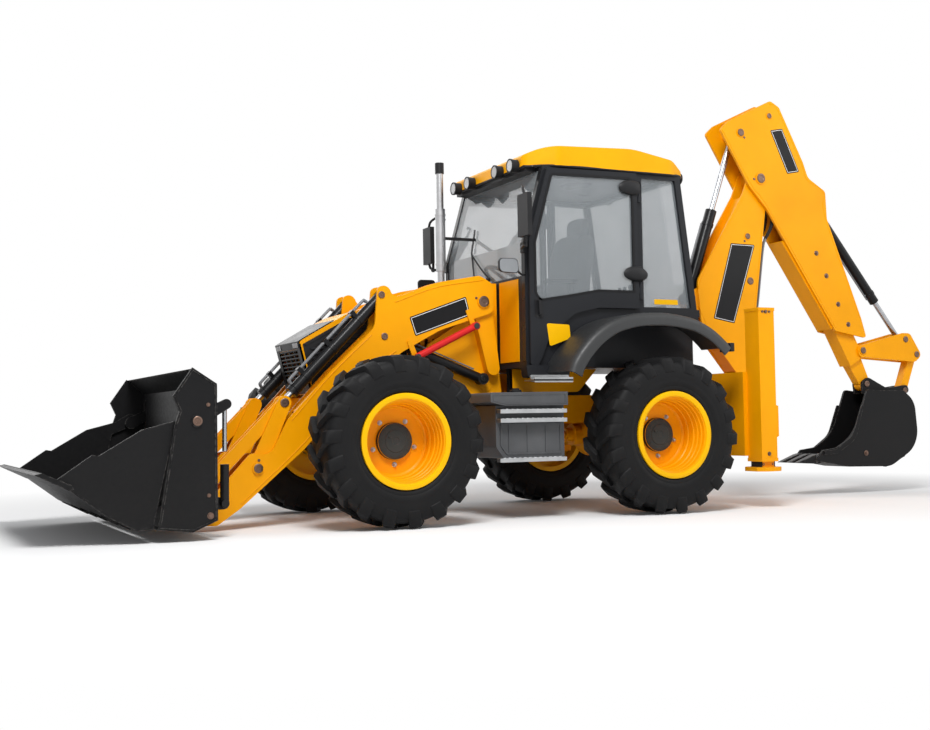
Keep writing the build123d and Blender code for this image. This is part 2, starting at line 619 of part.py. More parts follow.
# Cab places in the side view: front post, rear post, waist line and the door's edge
FRONT_POST = [(1070, FLOOR_Z), (1066, 2170), (890, 2790)]
REAR_POST = [(-575, 1560), (-420, 2770)]
CAB_REAR_X = -590
WAIST_Z = 1660
ARCH_SHELF_Z = 1520
ARCH_WALL_Y = 640
FLOOR_STEP_X = 450
FLOOR_T = 40
SCREEN_LOW = 1900
DOOR_EDGE = [(30, 1655), (420, 1655, 200), (640, 1605, 120), (870, 1435, 100), (945, 1260), (988, 1185, 20),
             (1052, 1185, 25), (1048, 2172), (872, 2762, 20), (30, 2772, 20)]
WINDOW_EDGE = [(75, 1790), (420, 1790, 150), (700, 1740, 150), (960, 1700, 60), (1000, 1760, 40), (1000, 2160),
               (838, 2716, 40), (75, 2726, 40)]


def make_cab():
    """The hollow cab: floor, lower panels, posts, rails and roof frame, with the seats for its glass."""
    w, p = CAB_HALF_W, CAB_POST
    pieces = [block(CAB_REAR_X, 1070, -ARCH_WALL_Y, ARCH_WALL_Y, FLOOR_Z - FLOOR_T, FLOOR_Z),
              block(FLOOR_STEP_X, 1070, -w, w, FLOOR_Z - FLOOR_T, FLOOR_Z),
              block(1070 - CAB_PANEL, 1070, -w, w, FLOOR_Z - 1, SCREEN_LOW),
              block(CAB_REAR_X, CAB_REAR_X + CAB_PANEL, -ARCH_WALL_Y, ARCH_WALL_Y, FLOOR_Z - 1, WAIST_Z)]
    side_panel = plate([(CAB_REAR_X, ARCH_SHELF_Z), (FLOOR_STEP_X, ARCH_SHELF_Z), (FLOOR_STEP_X + 20, FLOOR_Z - FLOOR_T),
                        (965, FLOOR_Z - FLOOR_T), (965, 1240), (860, 1445, 100), (635, 1618, 120), (415, 1672, 200),
                        (-560, 1672)], w - 45, w)
    front = FRONT_POST
    a_post = plate([front[0], (front[0][0] - p, front[0][1]), (front[1][0] - p, front[1][1]),
                    (front[2][0] - p, front[2][1]), front[2], front[1]], w - p, w)
    rear = REAR_POST
    c_post = plate([rear[0], (rear[0][0] + p, rear[0][1]), (rear[1][0] + p, rear[1][1]), rear[1]], w - p, w)
    b_post = block(-35, 25, w - p, w, WAIST_Z - 20, 2770)
    top_rail = plate([(-425, 2740), (890, 2750), (890, 2790), (-420, 2790)], w - p, w)
    shelf = block(CAB_REAR_X, FLOOR_STEP_X + 10, ARCH_WALL_Y - 30, w - 1, ARCH_SHELF_Z, ARCH_SHELF_Z + 25)
    wall = block(CAB_REAR_X, FLOOR_STEP_X + 10, ARCH_WALL_Y - 30, ARCH_WALL_Y, FLOOR_Z - 1, ARCH_SHELF_Z + 1)
    arch_front = block(FLOOR_STEP_X, FLOOR_STEP_X + 25, ARCH_WALL_Y - 30, w - 1, FLOOR_Z - 1, ARCH_SHELF_Z + 24)
    for piece in (side_panel, a_post, b_post, c_post, top_rail, shelf, wall, arch_front):
        pieces += both(piece)
    pieces.append(block(845, 890, -w + 1, w - 1, 2750, 2790))
    pieces.append(block(-425, -370, -w + 1, w - 1, 2745, 2790))
    pieces.append(block(CAB_REAR_X, CAB_REAR_X + 45, -w + 1, w - 1, WAIST_Z - 60, WAIST_Z))
    for z in DOOR_HINGE_Z:
        for low in (z - 25.5, z + 90.5):
            pieces += both(Solid.make_cylinder(15, 25, Plane((DOOR_HINGE_X, DOOR_HINGE_Y, low))))
            pieces += both(block(DOOR_HINGE_X - 13, DOOR_HINGE_X + 13, w - 1, DOOR_HINGE_Y, low, low + 25))
    for x in (880, -470):
        pieces += both(block(x, x + 100, RAIL_Y - 29, RAIL_Y + 29, RAIL_TOP, FLOOR_Z - FLOOR_T + 1))
    keep("cab_frame", fuse(*pieces))
    screen = plate([(1064, SCREEN_LOW + 0.3), (1060, 2168), (896, 2749.7), (890, 2749.7), (1052, 2168),
                    (1057, SCREEN_LOW + 0.3)], -w + p + 0.3, w - p - 0.3)
    back = plate([(-562, WAIST_Z + 0.3), (-424, 2744.7), (-424 + GLASS_T, 2744.7), (-562 + GLASS_T, WAIST_Z + 0.3)],
                 -w + p + 0.3, w - p - 0.3)
    quarter = plate([(-35.3, 1672.3), (-35.3, 2738), (-368, 2738), (-505, 1672.3)], w - 30, w - 30 + GLASS_T)
    keep("cab_glass", Compound([screen, back] + both(quarter)))


# Roof: side and plan shapes, cut one by the other
ROOF_SIDE = [(-480, 2790), (-490, 2812, 12), (-330, 2905, 200), (60, 2972, 700), (870, 2940, 500), (1012, 2880, 30),
             (1015, 2790)]
ROOF_PLAN = [(-485, 700, 80), (-485, -700, 80), (-330, -775, 150), (760, -775, 150), (1015, -640, 90),
             (1015, 640, 90), (760, 775, 150), (-330, 775, 150)]


def plan_block(corners, z0, z1):
    """A block with a plan outline; corners are (x, y) or (x, y, radius)."""
    side = plate(corners, z0, z1)
    return upright(side)


def upright(side):
    """Turns a side-view plate so that its side axes become the plan's X and Y."""
    return side.mirror(Plane((0, 0, 0), (1, 0, 0), (0, 1, -1)))


def make_roof():
    """A crowned roof shell, rounded at its corners, over a hollow ceiling."""
    solid = plate(ROOF_SIDE, -780, 780).intersect(plan_block(ROOF_PLAN, 2700, 3000))
    hollow = block(-380, 850, -680, 680, 2780, 2850)
    keep("cab_roof", cut(solid.solids()[0], hollow))
    lamps = []
    for y in (262, 536):
        lamp = Solid.make_cylinder(52, 62, Plane((1015.3, y, 2806), (0, 1, 0), (1, 0, 0)))
        lamps += both(lamp)
    rear = Solid.make_cylinder(46, 60, Plane((-485.3, 560, 2802), (0, 1, 0), (-1, 0, 0)))
    lamps += both(fuse(rear))
    keep("work_lamps", Compound(lamps))


def make_doors():
    """Both doors with their windows cut and glazed."""
    y = CAB_HALF_W + DOOR_GAP
    frame = cut(plate(DOOR_EDGE, y, y + DOOR_T), plate(WINDOW_EDGE, y - 1, y + DOOR_T + 1))
    handle = block(965, 985, y + DOOR_T - 1, y + DOOR_T + 26, 1590, 1700)
    hinges = [Solid.make_cylinder(15, 90, Plane((DOOR_HINGE_X, DOOR_HINGE_Y, z))) for z in DOOR_HINGE_Z]
    arms = [block(DOOR_HINGE_X, 60, y + 6, y + DOOR_T - 6, z + 20, z + 70) for z in DOOR_HINGE_Z]
    frame = fuse(frame, handle, *hinges, *arms)
    pane = plate([(x, z) if len(rest) == 0 else (x, z, rest[0]) for x, z, *rest in WINDOW_EDGE],
                 y + DOOR_T / 2 - GLASS_T / 2, y + DOOR_T / 2 + GLASS_T / 2)
    keep("door_left", frame)
    keep("door_left_glass", pane)
    keep("door_right", mirrored(frame))
    keep("door_right_glass", mirrored(pane))


# Rear mudguards: an arch of sheet with a deep outer skirt
ARCH = [(905, 1130), (770, 1400, 250), (400, 1590, 500), (-250, 1558, 500), (-610, 1340)]
ARCH_T = 14
SKIRT = 120
FENDER_OUT_Y = 1165


def inset_arch(depth):
    """The arch moved towards the wheel's centre by depth."""
    moved = []
    for x, z, *rest in ARCH:
        away = math.hypot(x - 60, z - 760)
        moved.append((x - (x - 60) * depth / away, z - (z - 760) * depth / away, *[max(r - depth, 10) for r in rest]))
    return moved


def make_fenders():
    """Both rear mudguards."""
    under = list(reversed(inset_arch(ARCH_T)))
    sheet = plate(ARCH + under, CAB_HALF_W, FENDER_OUT_Y)
    skirt = plate(ARCH + list(reversed(inset_arch(SKIRT))), FENDER_OUT_Y - ARCH_T, FENDER_OUT_Y)
    fender = fuse(sheet, skirt)
    keep("rear_fenders", Compound(both(fender)))


def make_cab_inside():
    """Seat, steering column and rear controls."""
    cushion = block(290, 770, -240, 240, 1640, 1760)
    back = plate([(290, 1700), (330, 1700), (230, 2330, 40), (120, 2330, 40), (190, 1640, 30), (290, 1640)], -230, 230)
    base = block(330, 620, -150, 150, FLOOR_Z, 1641)
    keep("seat", fuse(cushion, back, base))
    column = plate([(860, FLOOR_Z), (1030, FLOOR_Z), (1030, 1700), (975, 1900, 30), (905, 1860, 30), (870, 1600)],
                   -150, 150)
    wheel_axis = Vector(-0.55, 0, 0.835)
    centre = Vector(855, 0, 1945)
    ring = Solid.make_torus(190, 15, Plane(centre, (0, 1, 0), wheel_axis))
    stem = Solid.make_cylinder(22, 160, Plane(centre - wheel_axis * 140, (0, 1, 0), wheel_axis))
    hub = Solid.make_cylinder(34, 24, Plane(centre - wheel_axis * 12, (0, 1, 0), wheel_axis))
    spokes = [Solid.make_box(380, 30, 14, Plane(centre - Vector(0, 190, 0) - wheel_axis * 7 + Vector(15, 0, 0),
                                                (0, 1, 0), wheel_axis))]
    rear = plate([(-545, FLOOR_Z), (-300, FLOOR_Z), (-330, 1640), (-400, 1720, 30), (-545, 1740, 20)], -330, 330)
    keep("controls", Compound([fuse(column, stem, hub, ring, *spokes), rear]))


def make_sides():
    """Step boxes and tanks between the wheels, exhaust and mirrors."""
    top = plate([(852, 872), (1400, 872), (1520, 900), (1520, 972, 20), (852, 976)], TOWER_Y + TOWER_T + 0.3, 1000)
    tank = plate([(852, 470), (1380, 470, 40), (1445, 560, 40), (1445, 873), (852, 873)], TOWER_Y + TOWER_T + 0.3, 930)
    treads = [block(865, 1440, 929, y_out, z, z + 26) for y_out, z in ((1000, 815), (1000, 745), (985, 445))]
    bracket = [block(x, x + 14, 880, 965, 446, 475) for x in (880, 1400)]
    side = fuse(top, tank, *treads, *bracket)
    keep("step_tanks", Compound(both(side)))
    pipe = Solid.make_cylinder(30, 2880 - COWL_TOP, Plane((EXHAUST_X, EXHAUST_Y, COWL_TOP)))
    collar = Solid.make_cylinder(48, 60, Plane((EXHAUST_X, EXHAUST_Y, COWL_TOP)))
    tip = Solid.make_cylinder(36, 90, Plane((EXHAUST_X, EXHAUST_Y, 2865)))
    keep("exhaust_stack", fuse(pipe, collar, tip))
    foot = block(1067, 1085, 700, 745, 2080, 2160)
    arm = Solid.make_cylinder(12, 175, Plane((1082, 722, 2120), (0, 0, 1), Vector(0.33, 0.944, 0)))
    stem = Solid.make_cylinder(12, 380, Plane((1130, 880, 2105)))
    head = block(1135, 1175, 835, 1000, 2180, 2510)
    keep("mirrors", Compound(both(fuse(head, foot, arm, stem))))


EXHAUST_X = 1350
EXHAUST_Y = -230


# Bonnet between the loader arms, hinged at its rear top edge
BONNET_HALF_W = 290
BONNET_WALL = 20
BONNET_HINGE = (1438, 1892)
BONNET_DEG = 48
GRILLE_BARS = 9


def bonnet_outline(shrink):
    """Side shape of the bonnet, moved in by shrink."""
    s = shrink
    return [(1442 if not s else 1440, 1000 - s), (1442 if not s else 1440, 1878 - s, 10), (2380 - s * 0.3, 1612 - s, 300),
            (2790 - s, 1385 - s * 0.6, 60), (2690 - s, 985 - s)]


def make_bonnet():
    """A hollow bonnet shell with louvred sides and a barred nose."""
    w, t = BONNET_HALF_W, BONNET_WALL
    shell = cut(plate(bonnet_outline(0), -w, w), plate(bonnet_outline(t), -w + t, w - t))
    window = plate([(2600, 1080), (2600, 1330), (2900, 1330), (2900, 1080)], -w + 60, w - 60)
    vents = [block(x, x + 34, -w - 1, w + 1, 1180, 1420) for x in (1640, 1710, 1780, 1850)]
    shell = cut(shell, window, *vents)
    bars = []
    for i in range(GRILLE_BARS):
        z = 1085 + i * (1325 - 1085) / (GRILLE_BARS - 1)
        x = 2690 + (z - 985) * 0.25
        bars.append(block(x - 24, x - 6, -w + 59, w - 59, z - 7, z + 7))
    leaf = block(BONNET_HINGE[0], 1480, -119.5, 119.5, 1862, BONNET_HINGE[1])
    keep("bonnet", fuse(shell, leaf, disc(BONNET_HINGE, 11.5, -119.5, 119.5), *bars))


def make_stabiliser(name, side):
    """A stabiliser's inner leg with its foot pad; it slides down out of its sleeve."""
    gap = LEG_WALL + 5
    leg = block(LEG_X - LEG_DEPTH / 2 + gap, LEG_X + LEG_DEPTH / 2 - gap, LEG_Y - LEG_WIDTH / 2 + gap,
                LEG_Y + LEG_WIDTH / 2 - gap, PAD_Z + PAD_T - 1, LEG_TOP - 60)
    neck = block(LEG_X - 70, LEG_X + 70, LEG_Y - 60, LEG_Y + 60, PAD_Z + PAD_T - 1, PAD_Z + PAD_T + 36)
    pad = block(LEG_X - PAD_HALF_X, LEG_X + PAD_HALF_X, LEG_Y - PAD_HALF_Y, LEG_Y + PAD_HALF_Y, PAD_Z, PAD_Z + PAD_T)
    pad = pad.chamfer(60, None, [e for e in pad.edges() if abs(e.tangent_at(0.5).Z) > 0.9])
    snug = LEG_WALL + PIVOT_GAP
    collar = block(LEG_X - LEG_DEPTH / 2 + snug, LEG_X + LEG_DEPTH / 2 - snug, LEG_Y - LEG_WIDTH / 2 + snug,
                   LEG_Y + LEG_WIDTH / 2 - snug, LEG_TOP - 160, LEG_TOP - 60)
    shape = fuse(leg, collar, neck, pad)
    keep("stabiliser_" + name, shape if side > 0 else mirrored(shape))


# Side-shift carriage on the rear rails, and the kingpost that slews in its two lugs
CARRIAGE_HALF_W = 200
CARRIAGE_GAP = 0.5
LUG_LOW_Z = 500
LUG_HIGH_Z = 1010
LUG_PLATE = 50
POST_HALF = 95
SLEW_R = 60
SIDE_SHIFT = 500
SLEW_DEG = 88


def make_carriage():
    """The carriage: a plate across the rails with hooks behind them, and two round slew lugs."""
    rail_back = REAR_FRAME_X - REAR_FRAME_T - SLIDE_RAIL_T
    front = rail_back - CARRIAGE_GAP
    pieces = [block(front - 46, front, -CARRIAGE_HALF_W, CARRIAGE_HALF_W, REAR_FRAME_LOW - 30, REAR_FRAME_TOP + 30)]
    for edge, up in ((REAR_FRAME_LOW, -1), (REAR_FRAME_TOP, 1)):
        z = sorted((edge + up * CARRIAGE_GAP, edge + up * 30))
        pieces.append(block(front - 20, rail_back + SLIDE_RAIL_T - 6, -CARRIAGE_HALF_W, CARRIAGE_HALF_W, *z))
    for z in (LUG_LOW_Z, LUG_HIGH_Z):
        lug = Solid.make_cylinder(SLEW_R + 22, LUG_PLATE, Plane((SLEW_X, 0, z)))
        arm = block(SLEW_X, front - 40, -SLEW_R - 22, SLEW_R + 22, z, z + LUG_PLATE)
        pieces += [lug, arm]
    keep("carriage", fuse(*pieces))


def make_kingpost():
    """The kingpost between the lugs, with ears for the boom's foot and its ram."""
    low, high = LUG_LOW_Z + LUG_PLATE + PIVOT_GAP, LUG_HIGH_Z - PIVOT_GAP
    post = Solid.make_cylinder(SLEW_R, high - low, Plane((SLEW_X, 0, low)))
    ears = []
    for side in (1, -1):
        y0 = BOOM_HALF_W + PIVOT_GAP
        ear = plate([(SLEW_X + 30, low + 10), (SLEW_X + 30, high - 40, 30), (BOOM_FOOT[0] - 20, high - 60, 60),
                     (BOOM_FOOT[0] - 84, BOOM_FOOT[1] - 60, 40), (BOOM_RAM_BASE[0] - 70, BOOM_RAM_BASE[1] + 40, 50),
                     (BOOM_RAM_BASE[0] - 40, BOOM_RAM_BASE[1] - 62, 50), (SLEW_X - 60, low + 10)], y0, y0 + 26)
        head = disc(BOOM_FOOT, 50, y0 + 25, y0 + 38)
        base = disc(BOOM_RAM_BASE, 46, y0 + 25, y0 + 34)
        inner = disc(BOOM_RAM_BASE, 40, BOOM_RAM_EYE_W / 2 + PIVOT_GAP, y0 + 1)
        for piece in (ear, head, base, inner):
            ears.append(piece if side > 0 else mirrored(piece))
    bridge = block(SLEW_X - 45, SLEW_X, -BOOM_HALF_W - 24, BOOM_HALF_W + 24, low + 20, high - 60)
    keep("kingpost", fuse(post, bridge, *ears))


BOOM_RAM_EYE_W = 112
DIPPER_RAM_EYE_W = 108
BUCKET_RAM_EYE_W = 94
BOOM_SIDE = [(-1470, 780, 60), (-1500, 1120, 150), (-1092, 1600, 150), (-1056, 1994, 120), (-1594, 2825, 60), (-1690, 3060, 80),
             (-1870, 3055, 80), (-1880, 2900, 60), (-1717, 1793, 300), (-1618, 830, 80), (-1590, 705, 60),
             (-1475, 705, 60)]


def make_boom():
    """The boom: two side plates, its front cover, the foot, tip and ram lugs."""
    w, t = BOOM_HALF_W, BOOM_PLATE
    pieces = both(plate(BOOM_SIDE, w - t, w))
    pieces.append(disc(BOOM_FOOT, 68, -w, w))
    pieces.append(disc(BOOM_TIP, 80, -w, w))
    covers = (((-1190, 1510), (-1160, 1930)), ((-1160, 1925), (-1620, 2790)), ((-1468, 1178), (-1188, 1515)),
              ((-1790, 2440), (-1850, 2830)))
    for a, b in covers:
        pieces.append(web(a, b, 20, -w + t - 1, w - t + 1))
    for side in (1, -1):
        lug = plate([(-1110, 1700), (-1000 + 40, 1700 + 70, 40), (-1000 + 52, 1860, 50), (-1060, 1930, 40),
                     (-1110, 1950)], DIPPER_RAM_EYE_W / 2 + PIVOT_GAP, w - t + 1)
        head = disc(DIPPER_RAM_BASE, 38, w - t, w - t + 12)
        eye = disc(BOOM_RAM_EYE, 40, BOOM_RAM_EYE_W / 2 + PIVOT_GAP, w - t + 1)
        shown = disc((-1630, 2426), 34, w - 1, w + 6)
        for piece in (lug, head, eye, shown):
            pieces.append(piece if side > 0 else mirrored(piece))
    keep("boom", fuse(*pieces))
    barrel, rod = ram(BOOM_RAM_BASE, BOOM_RAM_EYE, 0, 55, 30, BOOM_RAM_EYE_W, 430, 50)
    keep("boom_barrel", barrel)
    keep("boom_rod", rod)


DIPPER_SIDE = [(-1328, 3396, 30), (-1420, 3478, 40), (-1912, 3712, 40), (-2014, 3660, 60), (-2283, 3158, 200),
               (-2339, 3012, 100), (-2545, 2894, 50), (-2556, 2630, 100), (-2948, 1680), (-3006, 1495, 20),
               (-2621, 1560, 20), (-1839, 2688, 100), (-1647, 2887, 200)]


def make_dipper():
    """The outer dipper: two side plates, its front and top covers, and the lugs of its ram."""
    w, t = DIPPER_HALF_W, DIPPER_PLATE
    pieces = both(plate(DIPPER_SIDE, w - t, w))
    covers = (((-2030, 2395), (-2600, 1578)), ((-1930, 3690), (-1516, 3495)), ((-2000, 3640), (-2260, 3150)),
              ((-1905, 3130), (-1660, 3330)))
    for a, b in covers:
        pieces.append(web(a, b, 18, -w + t - 1, w - t + 1))
    for side in (1, -1):
        eye = disc(DIPPER_RAM_EYE, 42, DIPPER_RAM_EYE_W / 2 + PIVOT_GAP, w + 8)
        tip = disc(BOOM_TIP, 56, w - 1, w + 10)
        seat = disc(BOOM_TIP, 60, BOOM_HALF_W + PIVOT_GAP, w - t + 1)
        shown = disc((-1890, 3567), 30, w - 1, w + 7)
        wear = disc(on_inner(640, 0), 60, INNER_HALF_W + PIVOT_GAP, w - t + 1)
        for piece in (eye, tip, seat, shown, wear):
            pieces.append(piece if side > 0 else mirrored(piece))
    keep("dipper", fuse(*pieces))
    barrel, rod = ram(DIPPER_RAM_BASE, DIPPER_RAM_EYE, 0, 52, 28, DIPPER_RAM_EYE_W, 610, 50)
    keep("dipper_barrel", barrel)
    keep("dipper_rod", rod)


def on_inner(height, offset):
    """A side-view place on the inner dipper: height along it from the bucket's pivot, offset to the rear."""
    length = distance(DIGGER_PIVOT, INNER_AIM)
    ux, uz = (INNER_AIM[0] - DIGGER_PIVOT[0]) / length, (INNER_AIM[1] - DIGGER_PIVOT[1]) / length
    return (DIGGER_PIVOT[0] + ux * height - uz * offset, DIGGER_PIVOT[1] + uz * height + ux * offset)


INNER_AIM = (-2049, 2827)


def make_inner_dipper():
    """The sliding inner dipper with its narrow nose, lever bosses and the bucket ram's bracket."""
    half = INNER_DEPTH / 2
    body = plate([on_inner(250, -half), on_inner(250, half), on_inner(INNER_LENGTH, half),
                  on_inner(INNER_LENGTH, -half)], -INNER_HALF_W, INNER_HALF_W)
    nose = plate([on_inner(0, -62) + (50,), on_inner(0, 62) + (50,), on_inner(251, half - 10),
                  on_inner(251, -half + 10)], -NOSE_HALF_W, NOSE_HALF_W)
    nose = fuse(nose, disc(DIGGER_PIVOT, 64, -NOSE_HALF_W, NOSE_HALF_W))
    bracket = []
    for side in (1, -1):
        ear = plate([on_inner(1560, half - 5), on_inner(1900, half - 5), (BUCKET_RAM_BASE[0] + 30, BUCKET_RAM_BASE[1] + 52, 30),
                     (BUCKET_RAM_BASE[0] - 52, BUCKET_RAM_BASE[1] + 20, 40), (BUCKET_RAM_BASE[0] - 30, BUCKET_RAM_BASE[1] - 58, 40)],
                    BUCKET_RAM_EYE_W / 2 + PIVOT_GAP, 70)
        boss = disc(TIP_PIVOT, 60, INNER_HALF_W - 1, LEVER_IN - PIVOT_GAP)
        wear = disc(on_inner(1930, 0), 60, INNER_HALF_W - 1, DIPPER_HALF_W - DIPPER_PLATE - PIVOT_GAP)
        for piece in (ear, boss, wear):
            bracket.append(piece if side > 0 else mirrored(piece))
    keep("inner_dipper", fuse(body, nose, *bracket))


LEVER_IN = 77
LEVER_T = 18
DIGGER_EAR_T = 22


def make_digger_linkage():
    """Tipping levers, link and ram of the digging bucket."""
    levers = []
    for side in (1, -1):
        lever = plate([(TIP_PIVOT[0] + 62, TIP_PIVOT[1] + 40, 50), (TIP_PIVOT[0] + 40, TIP_PIVOT[1] - 62, 50),
                       (TIP_LINK_TOP[0] + 20, TIP_LINK_TOP[1] - 75, 60), (TIP_LINK_TOP[0] - 66, TIP_LINK_TOP[1] - 10, 50),
                       (TIP_RAM_EYE[0] - 60, TIP_RAM_EYE[1] + 60, 60), (TIP_RAM_EYE[0] + 30, TIP_RAM_EYE[1] + 62, 50)],
                      LEVER_IN, LEVER_IN + LEVER_T)
        stub = disc(TIP_RAM_EYE, 36, BUCKET_RAM_EYE_W / 2 + PIVOT_GAP, LEVER_IN + 1)
        head = disc(TIP_PIVOT, 40, LEVER_IN + LEVER_T - 1, LEVER_IN + LEVER_T + 8)
        for piece in (lever, stub, head):
            levers.append(piece if side > 0 else mirrored(piece))
    keep("tip_lever", fuse(*levers))
    w = NOSE_HALF_W
    link = capsule(TIP_LINK_TOP, TIP_LINK_END, 42, 42, -w + PIVOT_GAP, w - PIVOT_GAP)
    top = disc(TIP_LINK_TOP, 42, -LEVER_IN + PIVOT_GAP, LEVER_IN - PIVOT_GAP)
    keep("tip_link", fuse(link, top))
    barrel, rod = ram(BUCKET_RAM_BASE, TIP_RAM_EYE, 0, 46, 26, BUCKET_RAM_EYE_W, 330, 44)
    keep("bucket_barrel", barrel)
    keep("bucket_rod", rod)


# Digging bucket: outer side shape from its ears round the back to the lip
DIGGER_BACK = [(-2958, 1000, 40), (-2900, 860, 100), (-2770, 560, 400), (-2560, 445, 60), (-2390, 425)]
DIGGER_ROUND = [(-2300, 330), (-2700, 262, 100), (-3230, 250, 250), (-3600, 450, 260), (-3560, 880, 200),
                (-3420, 985, 60), (-3080, 985, 60)]
TOOTH_COUNT = 3


def make_digger():
    """The digging bucket: hollow scoop, ears over the nose and link, lip and teeth."""
    w, t = DIGGER_HALF_W, DIGGER_PLATE
    scoop = plate(DIGGER_BACK + DIGGER_ROUND, -w, w)
    inner = plate([(-2900, 1100), (-2845, 830, 60), (-2690, 500, 300), (-2250, 400), (-2250, 352), (-2700, 284, 100),
                   (-3222, 273, 230), (-3576, 462, 240), (-3538, 870, 180), (-3410, 962, 60), (-3110, 962), (-3110, 1100)], -w + t, w - t)
    front = plate([(-2950, 1010), (-2870, 850, 60), (-2750, 520, 300), (-2200, 420), (-2200, 900), (-2600, 1200)],
                  -w + t, w - t)
    shell = cut(scoop, inner, front)
    pieces = [shell]
    for side in (1, -1):
        ear = plate([(DIGGER_PIVOT[0] + 66, DIGGER_PIVOT[1] + 20, 50), (DIGGER_PIVOT[0] + 50, 960), (-3500, 930),
                     (TIP_LINK_END[0] - 56, TIP_LINK_END[1] - 10, 30), (TIP_LINK_END[0] - 30, TIP_LINK_END[1] + 56, 40),
                     (-3300, 1010, 60), (DIGGER_PIVOT[0] - 20, DIGGER_PIVOT[1] + 66, 50)],
                    NOSE_HALF_W + PIVOT_GAP, NOSE_HALF_W + PIVOT_GAP + DIGGER_EAR_T)
        pieces.append(ear if side > 0 else mirrored(ear))
    pitch = 2 * (w - 45) / (TOOTH_COUNT - 1)
    for i in range(TOOTH_COUNT):
        y = -w + 45 + i * pitch
        pieces.append(plate([(-2104, 314), (-2330, 392), (-2420, 392), (-2420, 318), (-2330, 300)], y - 32, y + 32))
    keep("backhoe_bucket", fuse(*pieces))


def build():
    """Makes every piece, then moves them all so that the origin is under the machine's middle."""
    for name, x in (("front", WHEELBASE), ("rear", 0)):
        make_axle(name + "_axle", x, RAIL_TOP - RAIL_H)
        for hand, side in (("left", 1), ("right", -1)):
            make_wheel(name + "_" + hand, x, side)
            make_knuckle(name + "_" + hand, x, side)
    make_chassis()
    make_engine()
    make_arms()
    make_loader_linkage()
    make_shovel()
    make_cab()
    make_roof()
    make_doors()
    make_fenders()
    make_cab_inside()
    make_sides()
    make_bonnet()
    make_stabiliser("left", 1)
    make_stabiliser("right", -1)
    make_carriage()
    make_kingpost()
    make_boom()
    make_dipper()
    make_inner_dipper()
    make_digger_linkage()
    make_digger()
    boxes = [shape.bounding_box() for shape in NODES.values()]
    middle = (min(box.min.X for box in boxes) + max(box.max.X for box in boxes)) / 2
    return {name: shape.moved(Location((-middle, 0, 0))) for name, shape in NODES.items()}, middle


PARTS, MIDDLE_X = build()
os.makedirs("parts", exist_ok=True)
for part_name, part_shape in PARTS.items():
    export_step(part_shape, "parts/" + part_name + ".step")
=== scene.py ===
"""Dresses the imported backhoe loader: finishes for every frame node, and the pieces the frame leaves out."""

import logging
import math
from dataclasses import dataclass
from enum import Enum
from typing import Any, Sequence

import bmesh
import bpy
import numpy as np
from mathutils import Matrix, Vector


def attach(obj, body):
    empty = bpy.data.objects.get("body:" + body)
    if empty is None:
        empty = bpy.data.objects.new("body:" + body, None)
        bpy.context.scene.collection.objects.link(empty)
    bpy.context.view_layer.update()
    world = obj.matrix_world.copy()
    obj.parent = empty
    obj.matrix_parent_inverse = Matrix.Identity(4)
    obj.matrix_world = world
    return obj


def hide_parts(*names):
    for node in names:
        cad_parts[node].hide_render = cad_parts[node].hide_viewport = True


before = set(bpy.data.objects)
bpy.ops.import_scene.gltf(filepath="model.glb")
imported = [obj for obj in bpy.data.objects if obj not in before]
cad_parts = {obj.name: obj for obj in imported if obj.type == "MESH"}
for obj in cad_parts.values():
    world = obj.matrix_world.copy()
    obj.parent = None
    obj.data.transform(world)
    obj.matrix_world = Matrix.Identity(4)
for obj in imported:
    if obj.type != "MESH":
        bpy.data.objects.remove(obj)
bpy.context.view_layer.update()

LOG = logging.getLogger("backhoe_loader")
Colour = tuple[float, float, float]
Point = tuple[float, float, float]
Rows = np.ndarray
# The side view's sizes are measured from the rear axle; the frame's origin lies this far in front of it
MIDDLE_X = 0.536471
MM = 0.001
SHARP_DEG = 35
WHITE: Colour = (1.0, 1.0, 1.0)
BLACK: Colour = (0.0, 0.0, 0.0)
ROAD_DUST: Colour = (0.23, 0.2, 0.17)
TYRE_DUST: Colour = (0.12, 0.11, 0.1)


class Axis(Enum):
    """An axis that a turned or drawn shape runs along."""
    X = 0
    Y = 1
    Z = 2


class Socket:
    """A shader output that can be used in arithmetic."""

    def __init__(self, nodes: "Nodes", link: bpy.types.NodeSocket | None) -> None:
        """Keeps the tree and the node's output; a node without one gives None."""
        self.nodes = nodes
        self.link = link

    def _math(self, operation: str, first: Any, second: Any) -> "Socket":
        """Adds one Math node."""
        return self.nodes.node("ShaderNodeMath", {"operation": operation}, {0: first, 1: second})

    def __add__(self, other: Any) -> "Socket":
        """Sum."""
        return self._math("ADD", self, other)

    def __radd__(self, other: Any) -> "Socket":
        """Sum, reflected."""
        return self._math("ADD", other, self)

    def __sub__(self, other: Any) -> "Socket":
        """Difference."""
        return self._math("SUBTRACT", self, other)

    def __rsub__(self, other: Any) -> "Socket":
        """Difference, reflected."""
        return self._math("SUBTRACT", other, self)

    def __mul__(self, other: Any) -> "Socket":
        """Product."""
        return self._math("MULTIPLY", self, other)

    def __rmul__(self, other: Any) -> "Socket":
        """Product, reflected."""
        return self._math("MULTIPLY", other, self)

    def most(self, other: Any) -> "Socket":
        """The larger of the two."""
        return self._math("MAXIMUM", self, other)


